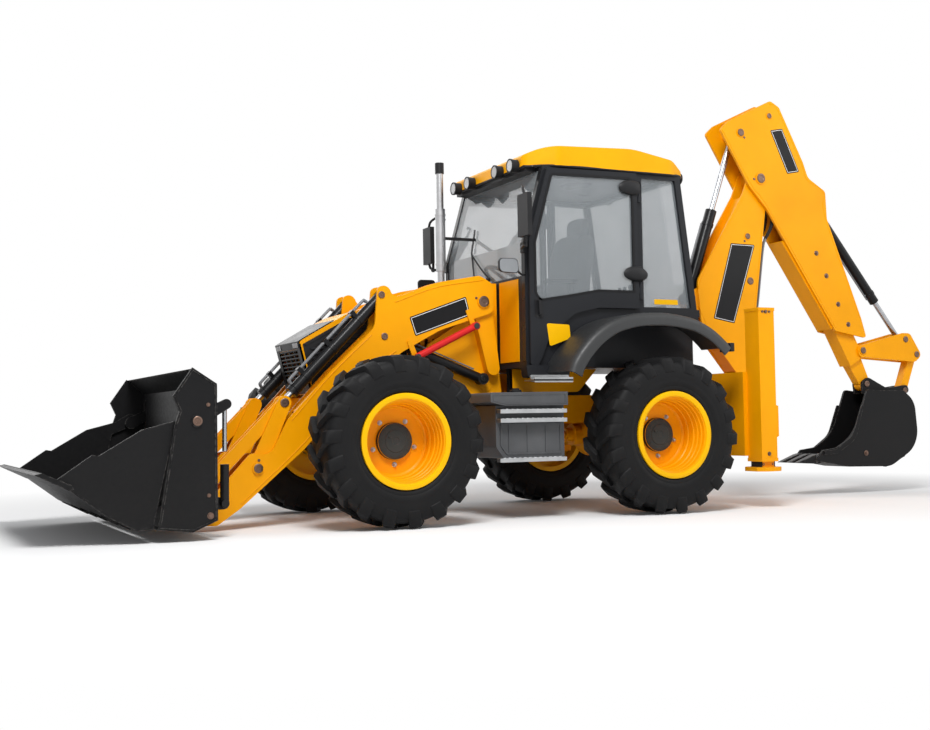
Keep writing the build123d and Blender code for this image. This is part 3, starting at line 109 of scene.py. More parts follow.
class Nodes:
    """A node tree whose nodes all come from one method."""

    def __init__(self, tree: bpy.types.NodeTree) -> None:
        """Empties the tree."""
        self.tree = tree
        tree.nodes.clear()

    def node(self, kind: str, settings: dict[str, Any], values: dict[Any, Any], out: Any = 0) -> Socket:
        """Makes a node.

        Args:
            kind: the node's type name.
            settings: attributes set before its sockets.
            values: socket values or Sockets by index or name.
            out: the output wanted.

        Returns:
            The wanted output as a Socket.
        """
        made = self.tree.nodes.new(kind)
        for key, value in settings.items():
            setattr(made, key, value)
        for key, value in values.items():
            if isinstance(value, Socket):
                self.tree.links.new(value.link, made.inputs[key])
            elif isinstance(value, (tuple, list)) and made.inputs[key].type == "RGBA" and len(value) == 3:
                made.inputs[key].default_value = (*value, 1.0)
            else:
                made.inputs[key].default_value = value
        return Socket(self, made.outputs[out] if made.outputs else None)


class Shader(Nodes):
    """A material with its surface shader."""

    def __init__(self, name: str) -> None:
        """Starts an empty material with its surface shader and output.

        Args:
            name: the material's name.
        """
        self.material = bpy.data.materials.new(name)
        self.material.use_nodes = True
        super().__init__(self.material.node_tree)
        whole = self.node("ShaderNodeBsdfPrincipled", {}, {})
        self.surface = whole.link.node
        self.node("ShaderNodeOutputMaterial", {}, {0: whole})
        self.place = self.node("ShaderNodeTexCoord", {}, {}, "Object")

    def noise(self, scale: float, detail: float = 3.0, rough: float = 0.55) -> Socket:
        """Noise over Object coordinates, 0 to 1.

        Args:
            scale: waves a metre.
            detail: octaves.
            rough: strength of each finer octave.

        Returns:
            The noise factor.
        """
        return self.node("ShaderNodeTexNoise", {}, {"Vector": self.place, "Scale": scale, "Detail": detail,
                                                    "Roughness": rough}, "Fac")

    def ramp(self, source: Socket, low: float, high: float, start: float = 0.0, end: float = 1.0) -> Socket:
        """Linear map of a value from low..high to start..end, held at the ends."""
        return self.node("ShaderNodeMapRange", {"clamp": True},
                         {0: source, 1: low, 2: high, 3: start, 4: end})

    def mix(self, mask: Any, first: Any, second: Any) -> Socket:
        """Colour mix: first where the mask is 0, second where it is 1."""
        return self.node("ShaderNodeMix", {"data_type": "RGBA"}, {0: mask, 6: first, 7: second}, 2)

    def edges(self, width: float = 0.012) -> Socket:
        """1 near worn edges: how far a bevelled normal departs from the true one.

        Args:
            width: radius of the bevel in metres.

        Returns:
            The mask.
        """
        bevel = self.node("ShaderNodeBevel", {"samples": 4}, {"Radius": width}, "Normal")
        true = self.node("ShaderNodeNewGeometry", {}, {}, "Normal")
        same = self.node("ShaderNodeVectorMath", {"operation": "DOT_PRODUCT"}, {0: bevel, 1: true}, "Value")
        return self.ramp(1.0 - same, 0.02, 0.25)

    def bump(self, height: Socket, strength: float, reach: float = 0.002) -> None:
        """Feeds a height to the surface's normal."""
        made = self.node("ShaderNodeBump", {}, {"Strength": strength, "Distance": reach, "Height": height},
                         "Normal")
        self.tree.links.new(made.link, self.surface.inputs["Normal"])

    def finish(self, **values: Any) -> bpy.types.Material:
        """Sets the surface shader's sockets.

        Args:
            values: a value or a Socket by the input's name, with underscores for its spaces.

        Returns:
            The material.
        """
        for key, value in values.items():
            socket = self.surface.inputs[key.replace("_", " ")]
            if isinstance(value, Socket):
                self.tree.links.new(value.link, socket)
            elif socket.type == "RGBA" and len(value) == 3:
                socket.default_value = (*value, 1.0)
            else:
                socket.default_value = value
        return self.material


@dataclass(frozen=True)
class Paint:
    """Gloss or satin machine paint with dust low down and slightly chalked patches."""
    name: str
    colour: Colour
    roughness: float = 0.32
    coat: float = 0.08
    dust: float = 0.12
    wear: float = 0.0
    bare: Colour = (0.16, 0.15, 0.14)
    sheen: float = 0.14

    def build(self) -> bpy.types.Material:
        """Makes the material.

        Returns:
            The material.
        """
        shader = Shader(self.name)
        broad, fine = shader.noise(1.7, 4.0), shader.noise(38.0, 3.0)
        darker = tuple(channel * 0.86 for channel in self.colour)
        colour = shader.mix(shader.ramp(broad, 0.35, 0.75), self.colour, darker)
        height = shader.node("ShaderNodeSeparateXYZ", {}, {0: shader.place}, 2)
        low = shader.ramp(height + broad * 0.5, 0.35, 1.35, self.dust, 0.0)
        colour = shader.mix(low * shader.ramp(fine, 0.3, 0.7, 0.4, 1.0), colour, ROAD_DUST)
        if self.wear > 0:
            worn = shader.edges() * shader.ramp(fine, 0.42, 0.6) * self.wear
            colour = shader.mix(worn, colour, self.bare)
        rough = shader.ramp(fine, 0.3, 0.7, self.roughness - 0.05, self.roughness + 0.08) + low * 0.5
        shader.bump(shader.noise(220.0, 2.0), 0.04, 0.0006)
        return shader.finish(Base_Color=colour, Roughness=rough, Coat_Weight=self.coat, Coat_Roughness=0.12,
                             Specular_IOR_Level=self.sheen)


@dataclass(frozen=True)
class Rubber:
    """Tyre rubber: matt, faintly dusty, with fine moulded grain."""
    name: str
    colour: Colour = (0.0075, 0.0075, 0.008)
    dust: float = 0.04

    def build(self) -> bpy.types.Material:
        """Makes the material.

        Returns:
            The material.
        """
        shader = Shader(self.name)
        broad, fine = shader.noise(5.0, 4.0), shader.noise(60.0, 4.0)
        dusty = shader.ramp(broad, 0.45, 0.8, 0.0, self.dust) * shader.ramp(fine, 0.3, 0.7, 0.4, 1.0)
        colour = shader.mix(dusty, self.colour, TYRE_DUST)
        shader.bump(fine, 0.18, 0.0015)
        return shader.finish(Base_Color=colour, Roughness=shader.ramp(fine, 0.2, 0.8, 0.46, 0.66),
                             Specular_IOR_Level=0.15)


@dataclass(frozen=True)
class Moulding:
    """Textured plastic moulding."""
    name: str
    colour: Colour
    roughness: float = 0.5
    grain: float = 0.12
    sheen: float = 0.2

    def build(self) -> bpy.types.Material:
        """Makes the material.

        Returns:
            The material.
        """
        shader = Shader(self.name)
        broad, fine = shader.noise(3.0, 3.0), shader.noise(420.0, 2.0)
        lighter = tuple(channel * 1.35 + 0.004 for channel in self.colour)
        shader.bump(fine, self.grain, 0.0008)
        return shader.finish(Base_Color=shader.mix(shader.ramp(broad, 0.35, 0.7), self.colour, lighter),
                             Roughness=shader.ramp(broad, 0.3, 0.7, self.roughness - 0.06,
                                                   self.roughness + 0.08),
                             Specular_IOR_Level=self.sheen)


@dataclass(frozen=True)
class Metal:
    """Bare or plated metal with faint streaks."""
    name: str
    colour: Colour
    roughness: float = 0.18
    streaks: float = 0.08

    def build(self) -> bpy.types.Material:
        """Makes the material.

        Returns:
            The material.
        """
        shader = Shader(self.name)
        fine, broad = shader.noise(90.0, 4.0), shader.noise(9.0, 3.0)
        darker = tuple(channel * 0.8 for channel in self.colour)
        shader.bump(fine, self.streaks, 0.0005)
        return shader.finish(Base_Color=shader.mix(shader.ramp(broad, 0.3, 0.7), self.colour, darker),
                             Metallic=1.0, Roughness=shader.ramp(fine, 0.3, 0.7, self.roughness - 0.04,
                                                                 self.roughness + 0.1))


@dataclass(frozen=True)
class Glazing:
    """Window glass: mostly see-through with a clear reflection and a film of dust."""
    name: str
    tint: Colour = (0.3, 0.33, 0.35)
    clear: float = 0.36

    def build(self) -> bpy.types.Material:
        """Makes the material.

        Returns:
            The material.
        """
        shader = Shader(self.name)
        film = shader.ramp(shader.noise(4.0, 4.0), 0.4, 0.8, self.clear, self.clear + 0.06)
        glass = shader.finish(Base_Color=self.tint, Roughness=0.04, Alpha=film, Specular_IOR_Level=0.9)
        glass.surface_render_method = "BLENDED"
        return glass


@dataclass(frozen=True)
class Weave:
    """Seat cloth: two crossed sets of ribs."""
    name: str
    colour: Colour = (0.07, 0.072, 0.078)

    def build(self) -> bpy.types.Material:
        """Makes the material.

        Returns:
            The material.
        """
        shader = Shader(self.name)
        values = {"Vector": shader.place, "Scale": 110.0, "Distortion": 0.6}
        ribs = [shader.node("ShaderNodeTexWave", {"bands_direction": way}, values, "Fac")
                for way in ("X", "Y")]
        height = ribs[0] * 0.5 + ribs[1] * 0.5
        shader.bump(height, 0.35, 0.0012)
        lighter = tuple(channel * 1.9 for channel in self.colour)
        return shader.finish(Base_Color=shader.mix(height * 0.6, self.colour, lighter), Roughness=0.88,
                             Sheen_Weight=0.15)


class Finish(Enum):
    """Every finish on the machine."""
    YELLOW = Paint("machine_yellow", (0.95, 0.385, 0.0), roughness=0.4, coat=0.03, dust=0.0)
    RIM = Paint("rim_yellow", (0.94, 0.5, 0.0), coat=0.03, dust=0.0)
    ROOF = Paint("roof_yellow", (0.9, 0.4, 0.0), roughness=0.4, coat=0.03, dust=0.0)
    RED = Paint("strut_red", (0.68, 0.02, 0.02), dust=0.0)
    BUCKET = Paint("bucket_charcoal", (0.0085, 0.0085, 0.0092), roughness=0.42, coat=0.0, dust=0.02,
                   wear=0.6)
    CAB = Paint("cab_charcoal", (0.018, 0.019, 0.022), roughness=0.36, coat=0.04, dust=0.0)
    CYLINDER = Paint("cylinder_black", (0.009, 0.009, 0.01), roughness=0.3, coat=0.1, dust=0.03)
    HUB = Paint("hub_grey", (0.042, 0.048, 0.048), roughness=0.45, coat=0.0, dust=0.02)
    GUARD = Paint("guard_black", (0.02, 0.021, 0.022), roughness=0.46, coat=0.0, dust=0.0, sheen=0.5)
    PLATE_DARK = Paint("plate_black", (0.008, 0.008, 0.009), roughness=0.35, coat=0.05, dust=0.0)
    PLATE_PALE = Paint("plate_white", (0.8, 0.8, 0.78), roughness=0.35, coat=0.3, dust=0.04)
    TYRE = Rubber("tyre_rubber")
    SEAL = Rubber("seal_rubber", (0.012, 0.012, 0.013), 0.0)
    BLACK = Moulding("black_moulding", (0.011, 0.011, 0.012), 0.42)
    TANK = Moulding("tank_moulding", (0.075, 0.077, 0.081), 0.4)
    INSIDE = Moulding("cab_lining", (0.16, 0.165, 0.17), 0.6)
    PIPE = Paint("pipe_grey", (0.2, 0.205, 0.215), roughness=0.3, coat=0.1, dust=0.05)
    EDGE = Paint("worn_edge", (0.075, 0.075, 0.078), roughness=0.38, coat=0.05, dust=0.1, wear=0.9,
                 bare=(0.3, 0.3, 0.3))
    HOSE = Rubber("hose_rubber", (0.016, 0.016, 0.017), 0.05)
    LAMP_RED = Moulding("lamp_red", (0.42, 0.008, 0.006), 0.15, 0.02)
    LAMP_AMBER = Moulding("lamp_amber", (0.75, 0.19, 0.006), 0.15, 0.02)
    GREY = Moulding("pale_grey_moulding", (0.2, 0.21, 0.22), 0.3)
    GLOSS = Moulding("gloss_black_moulding", (0.014, 0.014, 0.015), 0.24, 0.03)
    PIN = Metal("pin_steel", (0.2, 0.13, 0.1), 0.4, 0.12)
    CHROME = Metal("hard_chrome", (0.46, 0.47, 0.49), 0.22, 0.0)
    STEEL = Metal("brushed_steel", (0.5, 0.5, 0.51), 0.3, 0.15)
    TREAD = Metal("tread_alloy", (0.5, 0.51, 0.52), 0.38, 0.2)
    LENS = Glazing("lamp_lens", (0.85, 0.87, 0.88), 0.45)
    GLASS = Glazing("cab_glass")
    CLOTH = Weave("seat_cloth")

    def material(self) -> bpy.types.Material:
        """The one material of this finish, made at its first use.

        Returns:
            The material.
        """
        label = "look_" + self.value.name
        found = bpy.data.materials.get(label)
        if found is None:
            found = self.value.build()
            found.name = label
        return found


Shape = tuple[Rows, list]
Place = tuple[float, float]


def add_piece(name: str, shape: Shape, finish: Finish, body: str, smooth: bool = True, bevel: float = 0.0,
              replaces: Sequence[str] = ()) -> bpy.types.Object:
    """Makes one piece from millimetres in the side view's frame and lets it ride.

    Args:
        name: the piece's name.
        shape: vertices, one a row, and the vertex numbers of each face.
        finish: its finish.
        body: the frame body it rides on.
        smooth: whether faces shade smooth up to the sharp angle.
        bevel: width in metres of a bevel on sharp edges, or 0.
        replaces: frame nodes it stands for.

    Returns:
        The object.
    """
    rows, faces = shape
    mesh = bpy.data.meshes.new(name)
    mesh.from_pydata((np.asarray(rows, dtype=float) * MM - np.array([MIDDLE_X, 0.0, 0.0])).tolist(), [],
                     faces)
    build = bmesh.new()
    build.from_mesh(mesh)
    bmesh.ops.recalc_face_normals(build, faces=build.faces)
    build.to_mesh(mesh)
    build.free()
    if smooth:
        mesh.shade_smooth()
        mesh.set_sharp_from_angle(angle=math.radians(SHARP_DEG))
    mesh.materials.append(finish.material())
    piece = bpy.data.objects.new(name, mesh)
    bpy.context.scene.collection.objects.link(piece)
    if bevel > 0:
        rounding = piece.modifiers.new("rounded_edges", "BEVEL")
        rounding.width = bevel
        rounding.segments = 2
        rounding.limit_method = "ANGLE"
    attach(piece, body)
    if replaces:
        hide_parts(*replaces)
    LOG.info("piece %s: %d points on %s", name, len(rows), body)
    return piece


def grid_faces(rows: int, columns: int, wrap_rows: bool, wrap_columns: bool) -> Rows:
    """Quads of a grid of points stored row by row; a wrapped direction joins its last line to its first.

    Args:
        rows: how many rows.
        columns: points a row.
        wrap_rows: whether the last row joins the first.
        wrap_columns: whether each row's end joins its start.

    Returns:
        Four vertex numbers a face.
    """
    i = np.arange(rows if wrap_rows else rows - 1)[:, None]
    j = np.arange(columns if wrap_columns else columns - 1)[None, :]
    i2, j2 = (i + 1) % rows, (j + 1) % columns
    quads = np.stack([i * columns + j, i * columns + j2, i2 * columns + j2, i2 * columns + j], axis=-1)
    return quads.reshape(-1, 4)


def tube_faces(rows: int, columns: int) -> list:
    """Faces of a grid whose rows are closed rings, with both of its ends closed."""
    ends = [list(range(columns)), list(range(rows * columns - 1, (rows - 1) * columns - 1, -1))]
    return grid_faces(rows, columns, False, True).tolist() + ends


def joined(parts: Sequence[Shape]) -> Shape:
    """Several shapes as one set of points and faces.

    Args:
        parts: the shapes.

    Returns:
        The shape.
    """
    points, faces, first = [], [], 0
    for rows, quads in parts:
        points.append(rows)
        faces += [[index + first for index in quad] for quad in quads]
        first += len(rows)
    return np.vstack(points), faces


def flipped(shape: Shape) -> Shape:
    """The mirror image across the machine's middle."""
    return shape[0] * np.array([1.0, -1.0, 1.0]), shape[1]


def sided(shape: Shape, side: int) -> Shape:
    """A left shape as it is for side 1, or its mirror image for side -1."""
    return shape if side > 0 else flipped(shape)


def both(parts: Sequence[Shape]) -> Shape:
    """Shapes of the left side with their mirror images on the right."""
    left = joined(parts)
    return joined([left, flipped(left)])


def moved(shape: Shape, shift: Sequence[float]) -> Shape:
    """The shape moved by a shift."""
    return shape[0] + np.array(shift, dtype=float), shape[1]


def turned(profile: Sequence[Place], centre: Sequence[float], axis: Axis = Axis.Y, steps: int = 32,
           start: float = 0.0) -> Shape:
    """A closed profile turned about an axis: point(a, k) = centre + along[k] + radius[k] (cos a, sin a).

    Args:
        profile: (along, radius) pairs, closed from last to first.
        centre: a point on the axis.
        axis: the axis it turns about.
        steps: places round the axis.
        start: angle of the first place.

    Returns:
        The shape.
    """
    pairs, k = np.array(profile, dtype=float), axis.value
    angle = start + np.linspace(0, 2 * np.pi, steps, endpoint=False)[:, None]
    points = np.zeros((steps, len(pairs), 3))
    points[..., k] = pairs[:, 0][None, :]
    points[..., (k + 1) % 3] = pairs[:, 1][None, :] * np.cos(angle)
    points[..., (k + 2) % 3] = pairs[:, 1][None, :] * np.sin(angle)
    faces = grid_faces(steps, len(pairs), True, True).tolist()
    return points.reshape(-1, 3) + np.array(centre, dtype=float), faces


def knob(centre: Sequence[float], radius: float, height: float, axis: Axis = Axis.Y, steps: int = 28,
         edge: float = 2.0, start: float = 0.0) -> Shape:
    """A flat round head: a turned disc with a chamfered rim.

    Args:
        centre: the middle of its foot.
        radius: its radius.
        height: how far it stands along the axis; a negative one points back.
        axis: the axis that it stands along.
        steps: places round it, 6 for a hexagon.
        edge: width of the chamfer.
        start: angle of the first place.

    Returns:
        The shape.
    """
    sign = 1.0 if height > 0 else -1.0
    profile = [(0.0, 0.4), (0.0, radius), (height - sign * edge, radius), (height, radius - edge),
               (height, 0.4)]
    return turned(profile, centre, axis, steps, start)


def bolt(centre: Sequence[float], size: float, side: float, axis: Axis = Axis.Y) -> Shape:
    """A hexagon bolt head on its washer.

    Args:
        centre: the middle of the washer's foot.
        size: the head's corner radius.
        side: 1 or -1, the way that it points along the axis.
        axis: the bolt's axis.

    Returns:
        The shape.
    """
    washer = knob(centre, size * 1.35, side * 2.5, axis, 18, 0.8)
    lift = np.zeros(3)
    lift[axis.value] = side * 2.5
    return joined([washer, knob(np.array(centre) + lift, size, side * size * 0.7, axis, 6, size * 0.12)])


def pin_head(x: float, z: float, y: float, radius: float) -> Shape:
    """A pin's round head: a turned section with a domed rim, a hollow and a small middle boss.

    Args:
        x: its place in the side view.
        z: its height in the side view.
        y: the face that it stands on, outwards.
        radius: the head's radius.

    Returns:
        The shape.
    """
    side = 1.0 if y > 0 else -1.0
    profile = [(0.0, 0.4), (0.0, radius), (side * 6, radius), (side * 8, radius * 0.9),
               (side * 8, radius * 0.62), (side * 5, radius * 0.55), (side * 5, radius * 0.24),
               (side * 7, radius * 0.2), (side * 7, 0.4)]
    return turned(profile, (x, y, z), Axis.Y, 28)


def rounded(corners: Sequence[Sequence[float]], steps: int = 6) -> Rows:
    """An outline with its corners rounded.

    A corner (x, z, r) becomes an arc of radius r that leaves both edges at r / tan(half the corner's angle);
    a corner (x, z) stays sharp.

    Args:
        corners: outline corners in order.
        steps: spans of each arc.

    Returns:
        The outline's points.
    """
    spots = np.array([corner[:2] for corner in corners], dtype=float)
    made = []
    for i, corner in enumerate(corners):
        here, back, ahead = spots[i], spots[i - 1], spots[(i + 1) % len(spots)]
        if len(corner) < 3:
            made.append(here[None, :])
            continue
        to_back, to_ahead = np.linalg.norm(back - here), np.linalg.norm(ahead - here)
        one, two = (back - here) / to_back, (ahead - here) / to_ahead
        half = math.acos(float(np.clip(one @ two, -1, 1))) / 2
        reach = min(corner[2] / math.tan(half), 0.49 * to_back, 0.49 * to_ahead)
        radius = reach * math.tan(half)
        centre = here + (one + two) / np.linalg.norm(one + two) * radius / math.sin(half)
        first, last = here + one * reach - centre, here + two * reach - centre
        a, b = math.atan2(first[1], first[0]), math.atan2(last[1], last[0])
        turn = (b - a + math.pi) % (2 * math.pi) - math.pi
        angle = a + turn * np.linspace(0, 1, steps + 1)
        made.append(centre + radius * np.stack([np.cos(angle), np.sin(angle)], axis=1))
    return np.vstack(made)


def inset(outline: Rows, depth: float) -> Rows:
    """An outline moved inwards: each point goes along the mean of its two edges' inward normals.

    Args:
        outline: the outline's points.
        depth: how far it moves.

    Returns:
        The inner outline, with as many points.
    """
    ahead = np.roll(outline, -1, axis=0) - outline
    ahead /= np.linalg.norm(ahead, axis=1)[:, None]
    back = np.roll(ahead, 1, axis=0)
    x, z = outline[:, 0], outline[:, 1]
    area = 0.5 * np.sum(x * np.roll(z, -1) - np.roll(x, -1) * z)
    turn = 1.0 if area > 0 else -1.0
    normal = np.stack([-(ahead[:, 1] + back[:, 1]), ahead[:, 0] + back[:, 0]], axis=1) * turn
    normal /= np.maximum(np.sum(normal ** 2, axis=1), 1.2)[:, None] / 2
    return outline + normal * depth


def side_plate(corners: Sequence[Sequence[float]], y0: float, y1: float) -> Shape:
    """A flat plate: its side-view outline drawn out across the machine.

    Args:
        corners: (x, z) or (x, z, radius) corners of the outline.
        y0: its one face.
        y1: its other face.

    Returns:
        The shape.
    """
    outline = rounded(corners)
    count = len(outline)
    points = np.zeros((2, count, 3))
    points[..., 0], points[..., 2] = outline[:, 0][None], outline[:, 1][None]
    points[0, :, 1], points[1, :, 1] = y0, y1
    return points.reshape(-1, 3), tube_faces(2, count)


def side_ring(outer: Rows, inner: Rows, y0: float, y1: float) -> Shape:
    """A closed strip: a four-sided section carried round an outline.

    Args:
        outer: the strip's outer outline.
        inner: its inner outline, with as many points.
        y0: its one face.
        y1: its other face.

    Returns:
        The shape.
    """
    points = np.zeros((len(outer), 4, 3))
    for k, (line, y) in enumerate(((outer, y0), (outer, y1), (inner, y1), (inner, y0))):
        points[:, k, 0], points[:, k, 2], points[:, k, 1] = line[:, 0], line[:, 1], y
    return points.reshape(-1, 3), grid_faces(len(outer), 4, True, True).tolist()


def box(low: Sequence[float], high: Sequence[float]) -> Shape:
    """A box from its lowest to its highest corner."""
    corners = [(low[0], low[2]), (high[0], low[2]), (high[0], high[2]), (low[0], high[2])]
    return side_plate(corners, low[1], high[1])


def curve(spots: Sequence[Sequence[float]], steps: int = 8) -> Rows:
    """A smooth path through places: between two of them lies the Catmull-Rom cubic of four neighbours.

    Args:
        spots: the places.
        steps: points from one place to the next.

    Returns:
        The path's points.
    """
    line = np.array(spots, dtype=float)
    line = np.vstack([2 * line[0] - line[1], line, 2 * line[-1] - line[-2]])
    t = np.linspace(0, 1, steps, endpoint=False)[None, :, None]
    a, b, c, d = (line[k:len(line) - 3 + k, None, :] for k in range(4))
    square, cube = 2 * a - 5 * b + 4 * c - d, 3 * b - a - 3 * c + d
    rows = 0.5 * (2 * b + (c - a) * t + square * t ** 2 + cube * t ** 3)
    return np.vstack([rows.reshape(-1, line.shape[1]), line[-2][None]])


def pipe(path: Rows, radius: float, sides: int = 12, loop: bool = False) -> Shape:
    """A round bar carried along a path: each ring stands square to the path's direction there.

    Args:
        path: points, one a row.
        radius: the bar's radius.
        sides: corners of each ring.
        loop: whether the path closes on itself.

    Returns:
        The shape, closed by its two ends unless it is a loop.
    """
    path = np.asarray(path, dtype=float)
    tangent = np.roll(path, -1, axis=0) - np.roll(path, 1, axis=0) if loop else np.gradient(path, axis=0)
    tangent /= np.linalg.norm(tangent, axis=1)[:, None]
    guide = np.array([0.0, 1.0, 0.0]) if abs(tangent[:, 1]).max() < 0.9 else np.array([0.12, 0.0, 1.0])
    across = np.cross(tangent, guide)
    across /= np.linalg.norm(across, axis=1)[:, None]
    up = np.cross(across, tangent)
    angle = np.linspace(0, 2 * np.pi, sides, endpoint=False)[None, :, None]
    rings = path[:, None, :] + radius * (across[:, None, :] * np.cos(angle) + up[:, None, :] * np.sin(angle))
    faces = grid_faces(len(path), sides, loop, True).tolist()
    if not loop:
        last = (len(path) - 1) * sides
        faces += [list(range(sides - 1, -1, -1)), list(range(last, last + sides))]
    return rings.reshape(-1, 3), faces


def beside(a: Place, b: Place, along: float, away: float) -> Place:
    """A side-view place beside the line from a to b.

    Args:
        a: the line's start.
        b: a place that the line runs to.
        along: how far it lies from a towards b.
        away: how far it lies to the left of the line.

    Returns:
        The place.
    """
    length = math.hypot(b[0] - a[0], b[1] - a[1])
    ux, uz = (b[0] - a[0]) / length, (b[1] - a[1]) / length
    return a[0] + ux * along - uz * away, a[1] + uz * along + ux * away


def turned_between(a: Place, b: Place, y: float, radius: float, bore: float = 0.6) -> Shape:
    """A ring about the side-view line from a to b: its chamfered section turned about that line.

    Args:
        a: the ring's one end.
        b: its other end.
        y: where the line lies across the machine.
        radius: the ring's outer radius.
        bore: its inner radius.

    Returns:
        The shape.
    """
    line = np.array([b[0] - a[0], 0.0, b[1] - a[1]])
    length = float(np.linalg.norm(line))
    ahead = line / length
    across = np.array([0.0, 1.0, 0.0])
    up = np.cross(ahead, across)
    angle = np.linspace(0, 2 * np.pi, 32, endpoint=False)[:, None, None]
    section = np.array([(0, bore), (0, radius - 2), (2, radius), (length - 2, radius), (length, radius - 2),
                        (length, bore)])
    round_it = across * np.cos(angle) + up * np.sin(angle)
    points = section[None, :, 0:1] * ahead + section[None, :, 1:2] * round_it
    faces = grid_faces(32, len(section), True, True).tolist()
    return points.reshape(-1, 3) + np.array([a[0], y, a[1]]), faces


def tilted(shape: Shape, degrees: float) -> Shape:
    """The shape turned in the side view, rising to the front by that many degrees."""
    c, s = math.cos(math.radians(degrees)), math.sin(math.radians(degrees))
    return shape[0] @ np.array([[c, 0, s], [0, 1, 0], [-s, 0, c]]), shape[1]


def swell(value: Rows, strength: float) -> Rows:
    """Numbers raised to a power with their signs kept."""
    return np.sign(value) * np.abs(value) ** strength


def cushion_block(low: Sequence[float], high: Sequence[float], power: float, lean: float = 0.0) -> Shape:
    """A stuffed block, as a superellipsoid.

    Its place at angles (a, b) is the half size times cos and sin raised to the power with their signs kept.

    Args:
        low: lowest corner.
        high: highest corner.
        power: 1 is a ball, near 0 a box.
        lean: how far its top lies behind its foot.

    Returns:
        The shape.
    """
    lat = np.linspace(-np.pi / 2, np.pi / 2, 25)[1:-1][:, None]
    lon = np.linspace(-np.pi, np.pi, 56, endpoint=False)[None, :]
    half = (np.array(high) - np.array(low)) / 2
    middle = (np.array(high) + np.array(low)) / 2
    x = swell(np.cos(lat), power) * swell(np.cos(lon), power) * half[0]
    y = swell(np.cos(lat), power) * swell(np.sin(lon), power) * half[1]
    z = np.broadcast_to(swell(np.sin(lat), power) * half[2], x.shape)
    points = np.stack([x - (z / half[2]) * lean / 2, y, z], axis=-1)
    rows, columns = points.shape[:2]
    return points.reshape(-1, 3) + middle, tube_faces(rows, columns)


def weld(line: Sequence[Place], y: float, radius: float = 3.5, steps: int = 12) -> Shape:
    """A weld bead along a smooth side-view line on the face at y."""
    return pipe(curve([(x, y, z) for x, z in line], steps), radius, 8)


def tread_grip(x: float, y: float, z: float) -> Shape:
    """One raised round grip of a tread plate."""
    return turned([(0, 0.5), (0, 9), (4, 6.5), (4, 0.5)], (x, y, z), Axis.Z, 10)


def blank_plate(name: str, corners: Sequence[Place], y: float, body: str) -> None:
    """A bare black plate with a pale keyline on both sides of the machine.

    Args:
        name: the first word of its two pieces' names.
        corners: its outline in the side view.
        y: the face that it lies on.
        body: the body that it rides on.
    """
    soft_corners = [(*corner, 12) for corner in corners]
    line = rounded(soft_corners, 4)
    key = side_ring(inset(line, 9), inset(line, 14), y + 1.2, y + 2.2)
    add_piece(name + "_plates", both([side_plate(soft_corners, y, y + 1.6)]), Finish.PLATE_DARK, body,
              smooth=False)
    add_piece(name + "_keylines", both([key]), Finish.PLATE_PALE, body, smooth=False)


